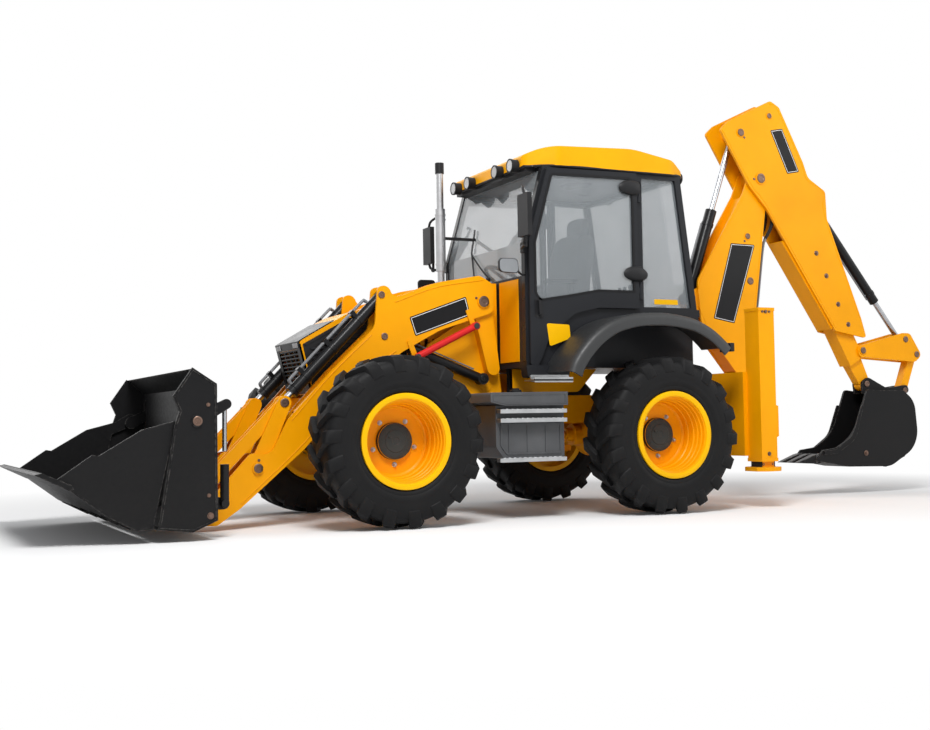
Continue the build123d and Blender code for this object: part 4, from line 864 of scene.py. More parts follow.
@dataclass
class Studio:
    """Camera at the photograph's place, soft light and a pale floor."""
    eye: Point = (5.769, 9.452, 0.772)
    turn_deg: float = 25.55
    rise_deg: float = 2.48
    roll_deg: float = -0.99
    lens: float = 48.82
    sky: Colour = (0.97, 0.98, 1.0)
    sky_level: float = 0.38
    floor_half: float = 60.0
    floor_colour: Colour = (0.95, 0.95, 0.95)
    floor_glow: Colour = (0.02, 0.02, 0.02)
    fade: tuple[float, float] = (4.3, 7.2)
    lamps: tuple[tuple[str, Point, Point, float, float], ...] = (
        ("key", (3.5, 6.0, 8.0), (0, 0, 1.0), 3.2, 740),
        ("fill", (-6.5, 5.0, 5.0), (-0.5, 0, 1.3), 5.0, 120),
        ("back", (1.0, -8.0, 6.5), (0, 0, 1.2), 6.0, 200))

    def camera(self) -> None:
        """Sets up the camera from its place and three angles."""
        yaw, rise, roll = (math.radians(angle) for angle in (self.turn_deg, self.rise_deg, self.roll_deg))
        ahead = Vector((-math.sin(yaw) * math.cos(rise), -math.cos(yaw) * math.cos(rise), math.sin(rise)))
        right = ahead.cross(Vector((0, 0, 1))).normalized()
        up = right.cross(ahead)
        level = right * math.cos(roll) + up * math.sin(roll)
        stand = up * math.cos(roll) - right * math.sin(roll)
        data = bpy.data.cameras.new("photo_camera")
        data.lens = self.lens
        data.sensor_width = 36.0
        data.sensor_fit = "HORIZONTAL"
        data.clip_end = 200.0
        camera = bpy.data.objects.new("photo_camera", data)
        turn = Matrix((level, stand, -ahead)).transposed().to_4x4()
        turn.translation = Vector(self.eye) - Vector((MIDDLE_X, 0, 0))
        camera.matrix_world = turn
        bpy.context.scene.collection.objects.link(camera)
        bpy.context.scene.camera = camera

    def light(self, name: str, place: Point, aim: Point, size: float, power: float) -> None:
        """One soft square lamp aimed at a place.

        Args:
            name: its name.
            place: where it stands, in metres.
            aim: the place that it points at.
            size: length of its sides.
            power: its power in watts.
        """
        data = bpy.data.lights.new(name, "AREA")
        data.shape = "SQUARE"
        data.size = size
        data.energy = power
        lamp = bpy.data.objects.new(name, data)
        lamp.location = place
        lamp.rotation_euler = (Vector(aim) - Vector(place)).to_track_quat("-Z", "Y").to_euler()
        bpy.context.scene.collection.objects.link(lamp)

    def world(self) -> None:
        """White to the camera and in reflections, plain soft light on the object."""
        world = bpy.data.worlds.new("studio")
        world.use_nodes = True
        bpy.context.scene.world = world
        nodes = Nodes(world.node_tree)
        camera_ray, glossy_ray, through_ray = (
            nodes.node("ShaderNodeLightPath", {}, {}, ray)
            for ray in ("Is Camera Ray", "Is Glossy Ray", "Is Transmission Ray"))
        seen = nodes.node("ShaderNodeBackground", {}, {0: WHITE, 1: 1.0})
        soft = nodes.node("ShaderNodeBackground", {}, {0: self.sky, 1: self.sky_level})
        shown = camera_ray.most(glossy_ray).most(through_ray)
        mixed = nodes.node("ShaderNodeMixShader", {}, {0: shown, 1: soft, 2: seen})
        nodes.node("ShaderNodeOutputWorld", {}, {0: mixed})

    def floor(self) -> None:
        """A wide pale floor that fades to the white behind it."""
        mesh = bpy.data.meshes.new("floor")
        half = self.floor_half
        corners = [(-half, -half, 0), (half, -half, 0), (half, half, 0), (-half, half, 0)]
        mesh.from_pydata(corners, [], [(0, 1, 2, 3)])
        shader = Shader("floor_white")
        away = shader.node("ShaderNodeVectorMath", {"operation": "LENGTH"}, {0: shader.place}, "Value")
        faded = shader.ramp(away, *self.fade)
        colour = shader.mix(faded, self.floor_colour, BLACK)
        glow = shader.mix(faded, self.floor_glow, WHITE)
        mesh.materials.append(shader.finish(Base_Color=colour, Roughness=1.0, Specular_IOR_Level=0.0,
                                            Emission_Color=glow, Emission_Strength=1.0))
        floor = bpy.data.objects.new("floor", mesh)
        bpy.context.scene.collection.objects.link(floor)

    def build(self) -> None:
        """Makes the whole studio."""
        self.camera()
        self.world()
        self.floor()
        for lamp in self.lamps:
            self.light(*lamp)
        bpy.context.scene.view_settings.view_transform = "Standard"


NODE_FINISH: dict[str, Finish] = {
    "cab_roof": Finish.ROOF, "cab_frame": Finish.CAB, "door_left": Finish.CAB, "door_right": Finish.CAB,
    "cab_glass": Finish.GLASS, "door_left_glass": Finish.GLASS, "door_right_glass": Finish.GLASS,
    "seat": Finish.CLOTH, "controls": Finish.INSIDE, "rear_fenders": Finish.GLOSS, "step_tanks": Finish.TANK,
    "exhaust_stack": Finish.STEEL, "work_lamps": Finish.BLACK, "mirrors": Finish.BLACK,
    "engine_block": Finish.HUB, "safety_struts": Finish.RED, "loader_bucket": Finish.BUCKET,
    "bucket_clam": Finish.BUCKET, "backhoe_bucket": Finish.BUCKET,
}
GROUP_FINISH: dict[str, Finish] = {"tyre_": Finish.TYRE, "rim_": Finish.RIM, "knuckle_": Finish.HUB,
                                   "_barrel": Finish.CYLINDER, "_rod": Finish.CHROME}


def dress_nodes() -> None:
    """Gives every frame node its finish, by its own name or by its kind."""
    for name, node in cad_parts.items():
        finish = NODE_FINISH.get(name)
        for mark, kind in GROUP_FINISH.items():
            if finish is None and mark in name:
                finish = kind
        node.data.materials.clear()
        node.data.materials.append((finish or Finish.YELLOW).material())


@dataclass
class Wheels:
    """The four tyres with their lugs, the rims' steps, and the hubs' caps and bolts."""
    wheelbase: float = 2287
    track_half: float = 995
    outer: float = 625
    lugs: int = 18
    first_deg: float = -86.8
    rim_in: float = 302
    disc_y: float = -60
    hub_r: float = 135.5
    hub_face: float = -22.5
    bolt_count: int = 5
    bolt_ring: float = 170

    def carcass(self) -> list[Place]:
        """Closed section of the tyre under its lugs, with a rim guard and a wall rib.

        Returns:
            (across, radius) pairs.
        """
        side = [(184, 318.8), (184, 346), (193, 352), (200, 360), (204, 376), (203, 384), (208, 392),
                (212.5, 410), (214, 425), (212.5, 431), (214.5, 450), (213, 495), (206, 535), (193, 564),
                (172, 580), (120, 588), (60, 590.5), (0, 591)]
        left = [(-across, radius) for across, radius in side[-2::-1]]
        return side + left + [(-160, 325), (160, 325)]

    def lug_rows(self, hand: int) -> Shape:
        """All lugs of one half: bars from the middle line out over the shoulder and down the wall.

        Along the bar u runs 0 to 1: across = a(u), radius = r(u), turn = w(u). Its section has a flat top
        between sloping flanks and is widest at the shoulder.

        Args:
            hand: 1 for the outer half, -1 for the inner half.

        Returns:
            The shape.
        """
        u = np.array([0.0, 0.1, 0.3, 0.5, 0.7, 0.82, 0.9, 0.96, 1.0])
        across = np.interp(u, [0, 0.7, 0.82, 0.9, 0.96, 1.0], [8, 172, 196, 209, 215, 215.5])
        top = np.interp(u, [0, 0.1, 0.7, 0.82, 0.9, 0.96, 1.0], [616, 624, 620, 607, 580, 540, 500])
        root = np.interp(u, [0, 0.7, 0.82, 0.9, 0.96, 1.0], [584, 576, 560, 540, 515, 494])
        sunk = np.interp(u, [0, 0.82, 0.9, 0.96, 1.0], [0, 6, 18, 14, 5])
        turn = np.radians(np.interp(u, [0, 0.3, 0.7, 1.0], [0.0, 4.4, 10.4, 12.0]))
        half = np.radians(np.interp(u, [0, 0.3, 0.8, 1.0], [3.2, 3.3, 4.3, 4.7]))
        flank = np.radians(1.35)
        offsets = np.stack([-half - flank, -half, -half * 0.9, half * 0.9, half, half + flank], axis=1)
        radii = np.stack([root, top - 5, top, top, top - 5, root], axis=1)
        sideways = np.stack([across - sunk, across - sunk * 0.12, across, across, across - sunk * 0.12,
                             across - sunk], axis=1)
        pitch = 2 * np.pi / self.lugs
        start = math.radians(self.first_deg) + np.arange(self.lugs) * pitch + (pitch / 2 if hand < 0 else 0)
        angle = start[:, None, None] + turn[None, :, None] + offsets[None]
        x, z = radii[None] * np.cos(angle), radii[None] * np.sin(angle)
        points = np.stack([x, np.broadcast_to(sideways[None] * hand, x.shape), z], axis=-1)
        rows, columns = points.shape[1:3]
        one = tube_faces(rows, columns)
        step = rows * columns
        faces = [[index + step * i for index in face] for i in range(self.lugs) for face in one]
        return points.reshape(-1, 3), faces

    def tyre(self) -> Shape:
        """A left tyre: carcass and both rows of lugs."""
        return joined([turned(self.carcass(), (0, 0, 0), Axis.Y, 108), self.lug_rows(1), self.lug_rows(-1)])

    def rim_steps(self) -> Shape:
        """The stepped rings inside the rim, as one turned section, and the tyre's valve.

        Returns:
            The shape.
        """
        inside = self.rim_in + 0.6
        steps = [(186, inside), (183, inside - 7), (150, inside - 9), (146, inside - 15), (112, inside - 17),
                 (108, inside - 22), (70, inside - 24), (64, inside - 31), (10, inside - 34),
                 (2, inside - 42), (-46, inside - 46), (-52, inside - 60), (-57, inside - 64), (-58, 136.2),
                 (-59.8, 136.2), (-59.8, inside)]
        valve = knob((inside * 0.55, self.disc_y, inside * 0.62), 5, 26)
        return joined([turned(steps, (0, 0, 0), Axis.Y, 96), valve])

    def rim_lip(self) -> Shape:
        """The rim's rolled outer lip."""
        lip = [(198, 303), (203, 306), (206, 318), (206, 336), (203, 344), (198, 344)]
        return turned(lip, (0, 0, 0), Axis.Y, 96)

    def hub_cap(self) -> Shape:
        """The planetary hub's cap: a chamfered drum with a raised middle, a bolt circle and a plug.

        Returns:
            The shape.
        """
        face = self.hub_face
        cap = [(-110, self.hub_r), (face - 8, self.hub_r), (face + 4, self.hub_r - 4),
               (face + 12.6, self.hub_r - 22), (face + 13, 84), (face + 17, 80), (face + 17, 30),
               (face + 14, 26), (face + 14, 0.5), (-110, 0.5)]
        small = [bolt((108 * math.cos(a), face + 9, 108 * math.sin(a)), 6, 1)
                 for a in np.linspace(0, 2 * np.pi, 10, endpoint=False)]
        plug = knob((48, face + 16, 30), 10, 8)
        return joined([turned(cap, (0, 0, 0), Axis.Y, 56), plug, *small])

    def wheel_bolts(self) -> Shape:
        """The bright wheel nuts on the disc round the hub.

        Returns:
            The shape.
        """
        turns = np.radians(56) + np.arange(self.bolt_count) * 2 * np.pi / self.bolt_count
        nuts = []
        for turn in turns:
            spot = (-self.bolt_ring * math.cos(turn), self.disc_y, self.bolt_ring * math.sin(turn))
            nuts += [knob(spot, 19, 5, steps=20), knob((spot[0], spot[1] + 5, spot[2]), 15, 15, steps=6),
                     knob((spot[0], spot[1] + 20, spot[2]), 8, 9, steps=14)]
        return joined(nuts)

    def build(self) -> None:
        """Adds tyres, rims' steps, hubs and bolts to all four wheels."""
        parts = (("tread_", self.tyre(), Finish.TYRE, "tyre_"),
                 # The rim's inner steps take the deeper orange machine yellow instead of the rim's own
                 # yellow: painted shade inside the rim.
                 ("rim_steps_", self.rim_steps(), Finish.YELLOW, ""),
                 ("rim_lip_", self.rim_lip(), Finish.RIM, ""),
                 ("hub_cap_", self.hub_cap(), Finish.HUB, ""),
                 ("wheel_nuts_", self.wheel_bolts(), Finish.STEEL, ""))
        for end, x in (("front", self.wheelbase), ("rear", 0.0)):
            for hand, side in (("left", 1), ("right", -1)):
                key = f"{end}_{hand}"
                for prefix, shape, finish, stands_for in parts:
                    placed = moved(sided(shape, side), (x, side * self.track_half, self.outer))
                    replaces = [stands_for + key] if stands_for else []
                    add_piece(prefix + key, placed, finish, "wheel_" + key, replaces=replaces)


@dataclass
class LoaderArms:
    """Plates, pins, welds, pipes and clamps of the two loader arms and their rams."""
    out_y: float = 466
    mid_y: float = 386
    arm_pivot: Place = (1303, 1710)
    tilt_base: Place = (2146, 1740)
    lever_top: Place = (2948, 921)
    lift_base: Place = (1300, 1095)
    lift_eye: Place = (2152, 1424)
    lift_y: float = 405
    plate: tuple[Place, ...] = ((1944, 1573), (1896, 1426), (1417, 1597), (1456, 1747))

    def side_marks(self) -> None:
        """The bare black plate on each arm, with its pale keyline."""
        blank_plate("arm", self.plate, self.out_y, "loader_arms")

    def pins(self) -> None:
        """Pin heads on both arms' outer sides, and on the levers."""
        outer = self.out_y
        heads = [pin_head(*self.arm_pivot, outer + 14, 44), pin_head(2154, 1422, outer, 27),
                 pin_head(2174, 1742, outer, 27), pin_head(3163, 443, outer + 14, 34),
                 bolt((1303 + 60, outer, 1710 + 28), 8, 1), bolt((3163 - 8, outer, 443 + 58), 8, 1)]
        add_piece("arm_pins", both(heads), Finish.PIN, "loader_arms")
        add_piece("lever_pins", both([pin_head(*self.lever_top, self.mid_y + 58, 34)]), Finish.PIN,
                  "tilt_levers")

    def edge_straps(self) -> None:
        """The doubled edge along each arm's outer side: a low weld bead inside the plate's border."""
        run = [(1300, 1884), (1700, 1816), (2060, 1690)]
        low = [(2060, 1312), (2420, 1040), (2820, 610), (3290, 192)]
        high = [(2262, 1432), (2600, 1118), (2900, 790)]
        beads = [weld(line, self.out_y + 1, 4, 10) for line in (run, low, high)]
        add_piece("arm_welds", both(beads), Finish.YELLOW, "loader_arms")

    def tilt_pipes(self) -> None:
        """The steel pipe along the top of each tilt ram, held by clamps, with its elbow at the gland."""
        a, b = self.tilt_base, self.lever_top
        spots = [(120, 50), (126, 72), (150, 80), (420, 80), (800, 80), (968, 80), (992, 72), (1000, 48)]
        lines, clamps = [], []
        for y, radius in ((self.mid_y + 6, 11), (self.mid_y - 22, 8)):
            path = [(*beside(a, b, along, away), y) for along, away in spots]
            lines.append(pipe(curve([(x, where, z) for x, z, where in path], 5), radius, 12))
        for along in (250, 560, 860):
            low, high = beside(a, b, along, 0), beside(a, b, along + 34, 0)
            clamps.append(turned_between(low, high, self.mid_y, 50))
            corners = [beside(a, b, along + on, away) for on, away in ((0, 44), (34, 44), (34, 94), (0, 94))]
            clamps.append(side_plate(corners, self.mid_y - 34, self.mid_y + 20))
        gland = turned_between(beside(a, b, 1010, 0), beside(a, b, 1046, 0), self.mid_y, 51)
        add_piece("tilt_pipes", both(lines), Finish.PIPE, "tilt_barrels")
        add_piece("tilt_clamps", both(clamps + [gland]), Finish.CYLINDER, "tilt_barrels")

    def strut_ends(self) -> None:
        """The struts' hanger plates in the arms' colour, and their dark end pins."""
        plates, caps = [], []
        for x, z in ((1393, 1510), (1901, 1262)):
            a, b = (x + 6, z + 15), (x + 45, z + 115)
            corners = [(*beside(a, b, along, away), 12)
                       for along, away in ((-6, 22.5), (126, 20.5), (126, -20.5), (-6, -22.5))]
            plates.append(side_plate(corners, self.out_y + 0.3, self.out_y + 11))
            caps.append(knob((x, self.out_y + 62, z), 24, 7))
        add_piece("strut_hangers", both(plates), Finish.YELLOW, "loader_arms")
        add_piece("strut_caps", both(caps), Finish.HUB, "loader_arms")

    def lift_fittings(self) -> None:
        """Gland rings, ports and short pipes of the lift rams."""
        a, b = self.lift_base, self.lift_eye
        ring = turned_between(beside(a, b, 770, 0), beside(a, b, 805, 0), self.lift_y, 44)
        spots = [(110, 30), (114, 46), (140, 50), (690, 50), (716, 46), (722, 30)]
        path = curve([(*beside(a, b, along, away), 0) for along, away in spots], 5)[:, [0, 2, 1]]
        line = pipe(path + np.array([0, self.lift_y, 0]), 6, 10)
        add_piece("lift_pipes", both([line]), Finish.PIPE, "lift_barrels")
        add_piece("lift_glands", both([ring, pin_head(*a, self.lift_y + 41, 30)]), Finish.CYLINDER,
                  "lift_barrels")

    def build(self) -> None:
        """Adds all of it."""
        self.side_marks()
        self.pins()
        self.edge_straps()
        self.tilt_pipes()
        self.strut_ends()
        self.lift_fittings()


@dataclass
class Shovel:
    """Edges, bolts and welds of the loader's shovel and its clam."""
    half_w: float = 1165
    hinge: Place = (3775, 793)
    bucket_pin: Place = (3545, 105)
    ear_mid: float = 386
    ear_out: float = 98.5

    def edge(self) -> None:
        """The cutting edge's worn strip with its countersunk bolts, and the floor's wear runners below."""
        strip = side_plate([(4640, 399), (4650, 397), (4801, 470.5), (4786, 477.5), (4762, 477),
                            (4640, 426)],
                           -self.half_w + 1, self.half_w - 1)
        spots = np.linspace(-self.half_w + 110, self.half_w - 110, 12)
        heads = [moved(tilted(knob((0, 0, 0), 15, 4, Axis.Z, 16, 1), 21), (4690, y, 449)) for y in spots]
        add_piece("cutting_edge", strip, Finish.EDGE, "clam", smooth=False)
        add_piece("edge_bolts", joined(heads), Finish.STEEL, "clam")
        runners = [side_plate([(4130, 92), (4166, 80), (4352, 178), (4360, 192), (4166, 96), (4130, 98)], y,
                              y + 60)
                   for y in (-900, -470, -30, 410, 840)]
        add_piece("clam_runners", joined(runners), Finish.BUCKET, "clam", smooth=False)

    def sides(self) -> None:
        """Side bolts, pin heads and the weld beads round the side plates."""
        heads = [pin_head(*self.hinge, self.half_w + 12, 32), bolt((3690, self.half_w, 165), 17, 1),
                 bolt((3700, self.half_w, 300), 10, 1), bolt((3700, self.half_w, 900), 10, 1)]
        for sign in (1, -1):
            y = self.ear_mid + sign * (self.ear_out + 8)
            head = pin_head(*self.bucket_pin, abs(y) if sign > 0 else -abs(y), 30)
            heads.append(head if sign > 0 else moved(head, (0, 2 * y, 0)))
        add_piece("shovel_pins", both(heads), Finish.PIN, "shovel")
        rim = rounded([(3803, 1148), (3640, 1040), (3640, 132), (3806, 62), (4040, 88), (4024, 152),
                       (3926, 762), (3892, 859), (3936, 957)])
        line = np.insert(inset(rim, 14), 1, self.half_w + 0.5, axis=1)
        add_piece("shovel_welds", both([pipe(line, 4, 8, True)]), Finish.BUCKET, "shovel")

    def back(self) -> None:
        """Stiffening ribs and the torque tube on the shovel's back."""
        ribs = [side_plate([(3641, 1000), (3612, 960, 30), (3606, 560, 60), (3612, 380, 30), (3641, 340)], y,
                           y + 14)
                for y in (120, 640, 940)]
        flat = side_plate([(3641, 1036), (3634, 1030), (3634, 948), (3641, 942)], 0, self.half_w - 20)
        add_piece("shovel_ribs", both(ribs + [flat]), Finish.BUCKET, "shovel", smooth=False)

    def build(self) -> None:
        """Adds all of it."""
        self.edge()
        self.sides()
        self.back()


@dataclass
class Bonnet:
    """Grille, louvre panels, headlamps and latches of the bonnet."""
    half_w: float = 290
    nose_low: Place = (2690, 985)
    nose_high: Place = (2790, 1385)
    bars: int = 9
    louvres: int = 15

    def nose_x(self, z: float) -> float:
        """Where the nose's front lies at a height."""
        (x0, z0), (x1, z1) = self.nose_low, self.nose_high
        return x0 + (z - z0) * (x1 - x0) / (z1 - z0)

    def strip(self, y0: float, y1: float, z0: float, z1: float, proud: float) -> Shape:
        """A panel lying on the nose between two heights."""
        a, b = self.nose_x(z0), self.nose_x(z1)
        return side_plate([(a - 16, z0), (a + proud, z0), (b + proud, z1), (b - 16, z1)], y0, y1)

    def grille(self) -> None:
        """The nose's black surround, and the bars in black over the frame's."""
        w = self.half_w
        parts = [self.strip(-w, -w + 60, 992, 1372, 3), self.strip(w - 60, w, 992, 1372, 3),
                 self.strip(-w + 60, w - 60, 992, 1078, 3), self.strip(-w + 60, w - 60, 1332, 1372, 3)]
        for i in range(self.bars):
            z = 1085 + i * (1325 - 1085) / (self.bars - 1)
            x = self.nose_x(z)
            parts.append(side_plate([(x - 26, z - 9), (x - 6, z - 9), (x, z - 4), (x, z + 4), (x - 6, z + 9),
                                     (x - 26, z + 9)], -w + 59, w - 59))
        posts = [self.strip(y - 7, y + 7, 1078, 1332, -3) for y in (-115, 0, 115)]
        cap = side_plate([(2500, 1551), (2503, 1556), (2760, 1409), (2795, 1386, 8), (2788, 1368),
                          (2784, 1370), (2787, 1383), (2756, 1403)], -w - 2, w + 2)
        add_piece("nose_grille", joined(parts + posts), Finish.BLACK, "bonnet", smooth=False)
        add_piece("nose_cap", cap, Finish.BLACK, "bonnet", smooth=False)

    def panels(self) -> None:
        """The black louvred panel on each side, below the thin yellow top edge, and its latches."""
        y = self.half_w
        edge = [(1900, 1030, 30), (1900, 1690, 30), (2385, 1570, 60), (2755, 1366, 10), (2672, 1010, 30)]
        frame_line = rounded(edge)
        back = side_plate(edge, y + 0.3, y + 3)
        ring = side_ring(frame_line, inset(frame_line, 22), y + 2, y + 9)
        slats = []
        for k in range(self.louvres):
            z = 1070 + k * 38
            front = 2660 + (z - 1010) * 0.21 if z < 1340 else 2725 - (z - 1340) * 1.85
            slats.append(side_plate([(1935, z), (front - 34, z), (front - 34, z + 7), (1935, z + 7)], y + 2,
                                    y + 11))
            low = slats[-1][0]
            low[:, 2] += np.where(low[:, 1] > y + 5, -9, 0)
        cut = [slat for slat in slats if np.ptp(slat[0][:, 0]) > 60]
        add_piece("bonnet_panels", both([back, ring]), Finish.BLACK, "bonnet", smooth=False)
        add_piece("bonnet_louvres", both(cut), Finish.CAB, "bonnet", smooth=False)
        latches = [joined([box((x, y + 0.2, 1035), (x + 46, y + 8, 1064)),
                           knob((x + 23, y + 7, 1049), 8, 6)])
                   for x in (1560, 1880)]
        add_piece("bonnet_latches", both(latches), Finish.BLACK, "bonnet")

    def lamps(self) -> None:
        """Two headlamps on the nose's upper corners."""
        a, b = self.nose_x(1344), self.nose_x(1376)
        housing = side_plate([(a - 10, 1338), (a + 5, 1338), (b + 5, 1381), (b - 10, 1381)], 150, 278)
        lens = side_plate([(a + 4, 1342), (a + 7.5, 1342), (b + 7.5, 1377), (b + 4, 1377)], 156, 272)
        add_piece("headlamp_frames", both([housing]), Finish.BLACK, "bonnet", smooth=False)
        add_piece("headlamp_lenses", both([lens]), Finish.LENS, "bonnet", smooth=False)

    def build(self) -> None:
        """Adds all of it."""
        self.grille()
        self.panels()
        self.lamps()


@dataclass
class Cab:
    """Trim, seals, lamps, mirrors and wiper of the cab."""
    half_w: float = 748
    door_y: float = 783
    hinges: tuple[tuple[Place, Place], ...] = (((92, 2648), (118, 62)), ((50, 1940), (128, 64)))
    lamp_x: float = 1077.3
    lamp_places: tuple[Place, ...] = ((262, 2806), (536, 2806))
    rear_lamp: Point = (-545.3, 560, 2802)
    window: tuple[tuple[float, ...], ...] = (
        (75, 1790), (420, 1790, 150), (700, 1740, 150), (960, 1700, 60), (1000, 1760, 40), (1000, 2160),
        (838, 2716, 40), (75, 2726, 40))

    def window_seals(self) -> None:
        """The rubber round each door's window, outside and inside, carried round the window's outline."""
        line = rounded(self.window, 8)
        for hand, side in (("left", 1), ("right", -1)):
            rings = [side_ring(inset(line, -7), inset(line, 12), y0, y1)
                     for y0, y1 in ((self.door_y - 11, self.door_y + 3),
                                    (self.door_y - 33, self.door_y - 20))]
            add_piece("window_seal_" + hand, sided(joined(rings), side), Finish.SEAL, "door_" + hand)

    def door_trim(self) -> None:
        """Handles' cups, hinge covers and the bare badge plate of each door."""
        y = self.door_y
        cup = side_plate([(930, 1560, 20), (1000, 1560, 20), (1012, 1720, 20), (942, 1720, 20)], y + 0.2,
                         y + 3)
        lever = side_plate([(962, 1590, 10), (986, 1590, 10), (992, 1700, 10), (968, 1700, 10)], y + 24,
                           y + 38)
        lock = knob((958, y + 2, 1575), 11, 8)
        badge = [(905, 1520), (700, 1512), (690, 1404), (880, 1338)]
        for hand, side in (("left", 1), ("right", -1)):
            trim = joined([cup, lever, lock, *(self.hinge_cover(*hinge, True) for hinge in self.hinges)])
            plate = side_plate([(x, z, 14) for x, z in badge], y + 0.2, y + 2)
            add_piece("door_trim_" + hand, sided(trim, side), Finish.BLACK, "door_" + hand)
            add_piece("door_badge_" + hand, sided(plate, side), Finish.RIM, "door_" + hand, smooth=False)
        fixed = [self.hinge_cover(*hinge, False) for hinge in self.hinges]
        add_piece("hinge_covers_fixed", both(fixed), Finish.BLACK, "chassis")

    def hinge_cover(self, centre: Place, half: Place, on_door: bool) -> Shape:
        """A domed oval cover, split at the hinge's line.

        With t round the oval and s from rim to top, x and z shrink as cos s and y rises as sin s, half as
        far on the cab's part. What lies past the split is held on it.

        Args:
            centre: its middle in the side view.
            half: half its length and half its height.
            on_door: whether it is the door's part.

        Returns:
            The shape.
        """
        t = np.linspace(0, 2 * np.pi, 40, endpoint=False)[:, None]
        s = np.array([0.0, 0.0, 0.5, 0.95, 1.3, 1.56])[None, :]
        x = centre[0] + half[0] * np.cos(s) * np.cos(t)
        z = centre[1] + half[1] * np.cos(s) * np.sin(t)
        height = np.broadcast_to(np.sin(s) * 24 + np.array([0, 8, 8, 8, 8, 8])[None, :], x.shape)
        x = np.maximum(x, 14) if on_door else np.minimum(x, -16)
        y = self.door_y + 0.3 + height if on_door else self.half_w + 0.3 + height * 0.5
        points = np.stack([x, y, z], axis=-1)
        faces = grid_faces(40, 6, True, False).tolist()
        faces += [[i * 6 for i in range(40)], [i * 6 + 5 for i in range(39, -1, -1)]]
        return points.reshape(-1, 3), faces

    def roof_trim(self) -> None:
        """The black band under the roof, its drip rail and the lamps' bar at the front and rear."""
        rail = curve([(x, y, 2786)
                      for x, y in ((-478, 690), (-330, 757), (200, 764), (760, 757), (1000, 640))], 8)
        bar = curve([(1003, -640, 2786), (1004, 0, 2786), (1003, 640, 2786)], 10)
        rear = curve([(-480, -690, 2786), (-482, 0, 2786), (-480, 690, 2786)], 8)
        band = [pipe(rail, 11, 10), flipped(pipe(rail, 11, 10)), pipe(bar, 12, 10), pipe(rear, 10, 10)]
        visor = [box((860, -640, 2752), (996, 640, 2788)), box((-470, -640, 2752), (-400, 640, 2788))]
        add_piece("roof_band", joined(band + visor), Finish.BLACK, "chassis")

    def lamps(self) -> None:
        """Bezels, reflectors and lenses of the four front and two rear work lamps."""
        bezels, lenses, bowls = [], [], []
        for y, z in self.lamp_places:
            here = (self.lamp_x, y, z)
            bezels.append(turned([(-12, 48), (-12, 56), (6, 56), (7, 50), (1, 46)], here, Axis.X, 36))
            lenses.append(knob((self.lamp_x + 0.5, y, z), 47, 4, Axis.X, 36, 3))
            bowls.append(turned([(-1, 0.5), (-1, 47), (0.4, 47), (0.4, 0.5)], here, Axis.X, 36))
        x, y, z = self.rear_lamp
        bezels.append(turned([(10, 40), (10, 50), (-6, 50), (-7, 44), (-1, 41)], (x, y, z), Axis.X, 32))
        lenses.append(knob((x - 0.5, y, z), 42, -4, Axis.X, 32, 3))
        bowls.append(knob((x + 0.6, y, z), 42, -1, Axis.X, 32, 0.4))
        add_piece("lamp_bezels", both(bezels), Finish.BLACK, "chassis")
        add_piece("lamp_bowls", both(bowls), Finish.CHROME, "chassis")
        add_piece("lamp_lenses", both(lenses), Finish.LENS, "chassis")

    def mirrors(self) -> None:
        """Mirror glasses, their tubular loops, and the small mirror at each front corner."""
        glass = [box((1133.5, 847, 2192), (1135.5, 988, 2498))]
        high = [(1066, 745, 2560), (1110, 800, 2590), (1148, 880, 2560), (1155, 915, 2500)]
        low = [(1072, 745, 2170), (1115, 820, 2120), (1150, 890, 2140), (1155, 915, 2190)]
        loops = [pipe(curve(path, 8), 11, 12) for path in (high, low)]
        arm = pipe(curve([(1066, 744, 1905), (1110, 768, 1900), (1160, 782, 1930)], 6), 9, 10)
        head = [(1146, 1905, 30), (1322, 1912, 34), (1326, 2020, 30), (1160, 2022, 34)]
        shell = side_plate(head, 776, 796)
        face = side_plate([(x * 0.92 + 99, z * 0.92 + 157, r) for x, z, r in head], 795.5, 798)
        add_piece("mirror_loops", both(loops + [arm, shell]), Finish.BLACK, "chassis", bevel=0.003)
        add_piece("mirror_glasses", both(glass), Finish.CHROME, "chassis", smooth=False)
        add_piece("corner_mirrors", both([face]), Finish.GREY, "chassis", smooth=False)

    def wipers(self) -> None:
        """The windscreen's wiper: its arm, blade and spindle."""
        spindle, tip = (1070, 120, 1930), (1074, -190, 2170)
        arm = pipe(curve([spindle, np.mean([spindle, tip], axis=0) + np.array([6, 0, 0]), tip], 6), 7, 8)
        blade = pipe(np.array([(1075, -150, 1950), (1066, -215, 2200), (1010, -260, 2400)], dtype=float), 8,
                     8)
        add_piece("screen_wiper", joined([arm, blade, knob(spindle, 20, 26, Axis.X, 20)]), Finish.BLACK,
                  "chassis")

    def pillars(self) -> None:
        """Dark trims on the windscreen's posts, the panels below it and the rear windows' blank plates."""
        w = self.half_w
        post = side_plate([(1071, 1225), (1075, 1225), (1071, 2170), (896, 2772), (891, 2770), (1067, 2168)],
                          w - 56, w - 4)
        panel = box((1070.3, 310, 1225), (1077, 632, 1880))
        middle = box((1070.3, -308, 1225), (1075, 308, 1880))
        badge = side_plate([(-390, 1700, 8), (-152, 1700, 8), (-152, 1742, 8), (-384, 1742, 8)], w - 23.6,
                           w - 22)
        add_piece("post_trims", both([post]), Finish.GLOSS, "chassis", smooth=False)
        add_piece("front_panels", both([panel]), Finish.YELLOW, "chassis", smooth=False)
        add_piece("front_middle", middle, Finish.BLACK, "chassis", smooth=False)
        add_piece("window_badge", both([badge]), Finish.RIM, "chassis", smooth=False)

    def build(self) -> None:
        """Adds all of it."""
        self.window_seals()
        self.door_trim()
        self.roof_trim()
        self.lamps()
        self.mirrors()
        self.wipers()
        self.pillars()


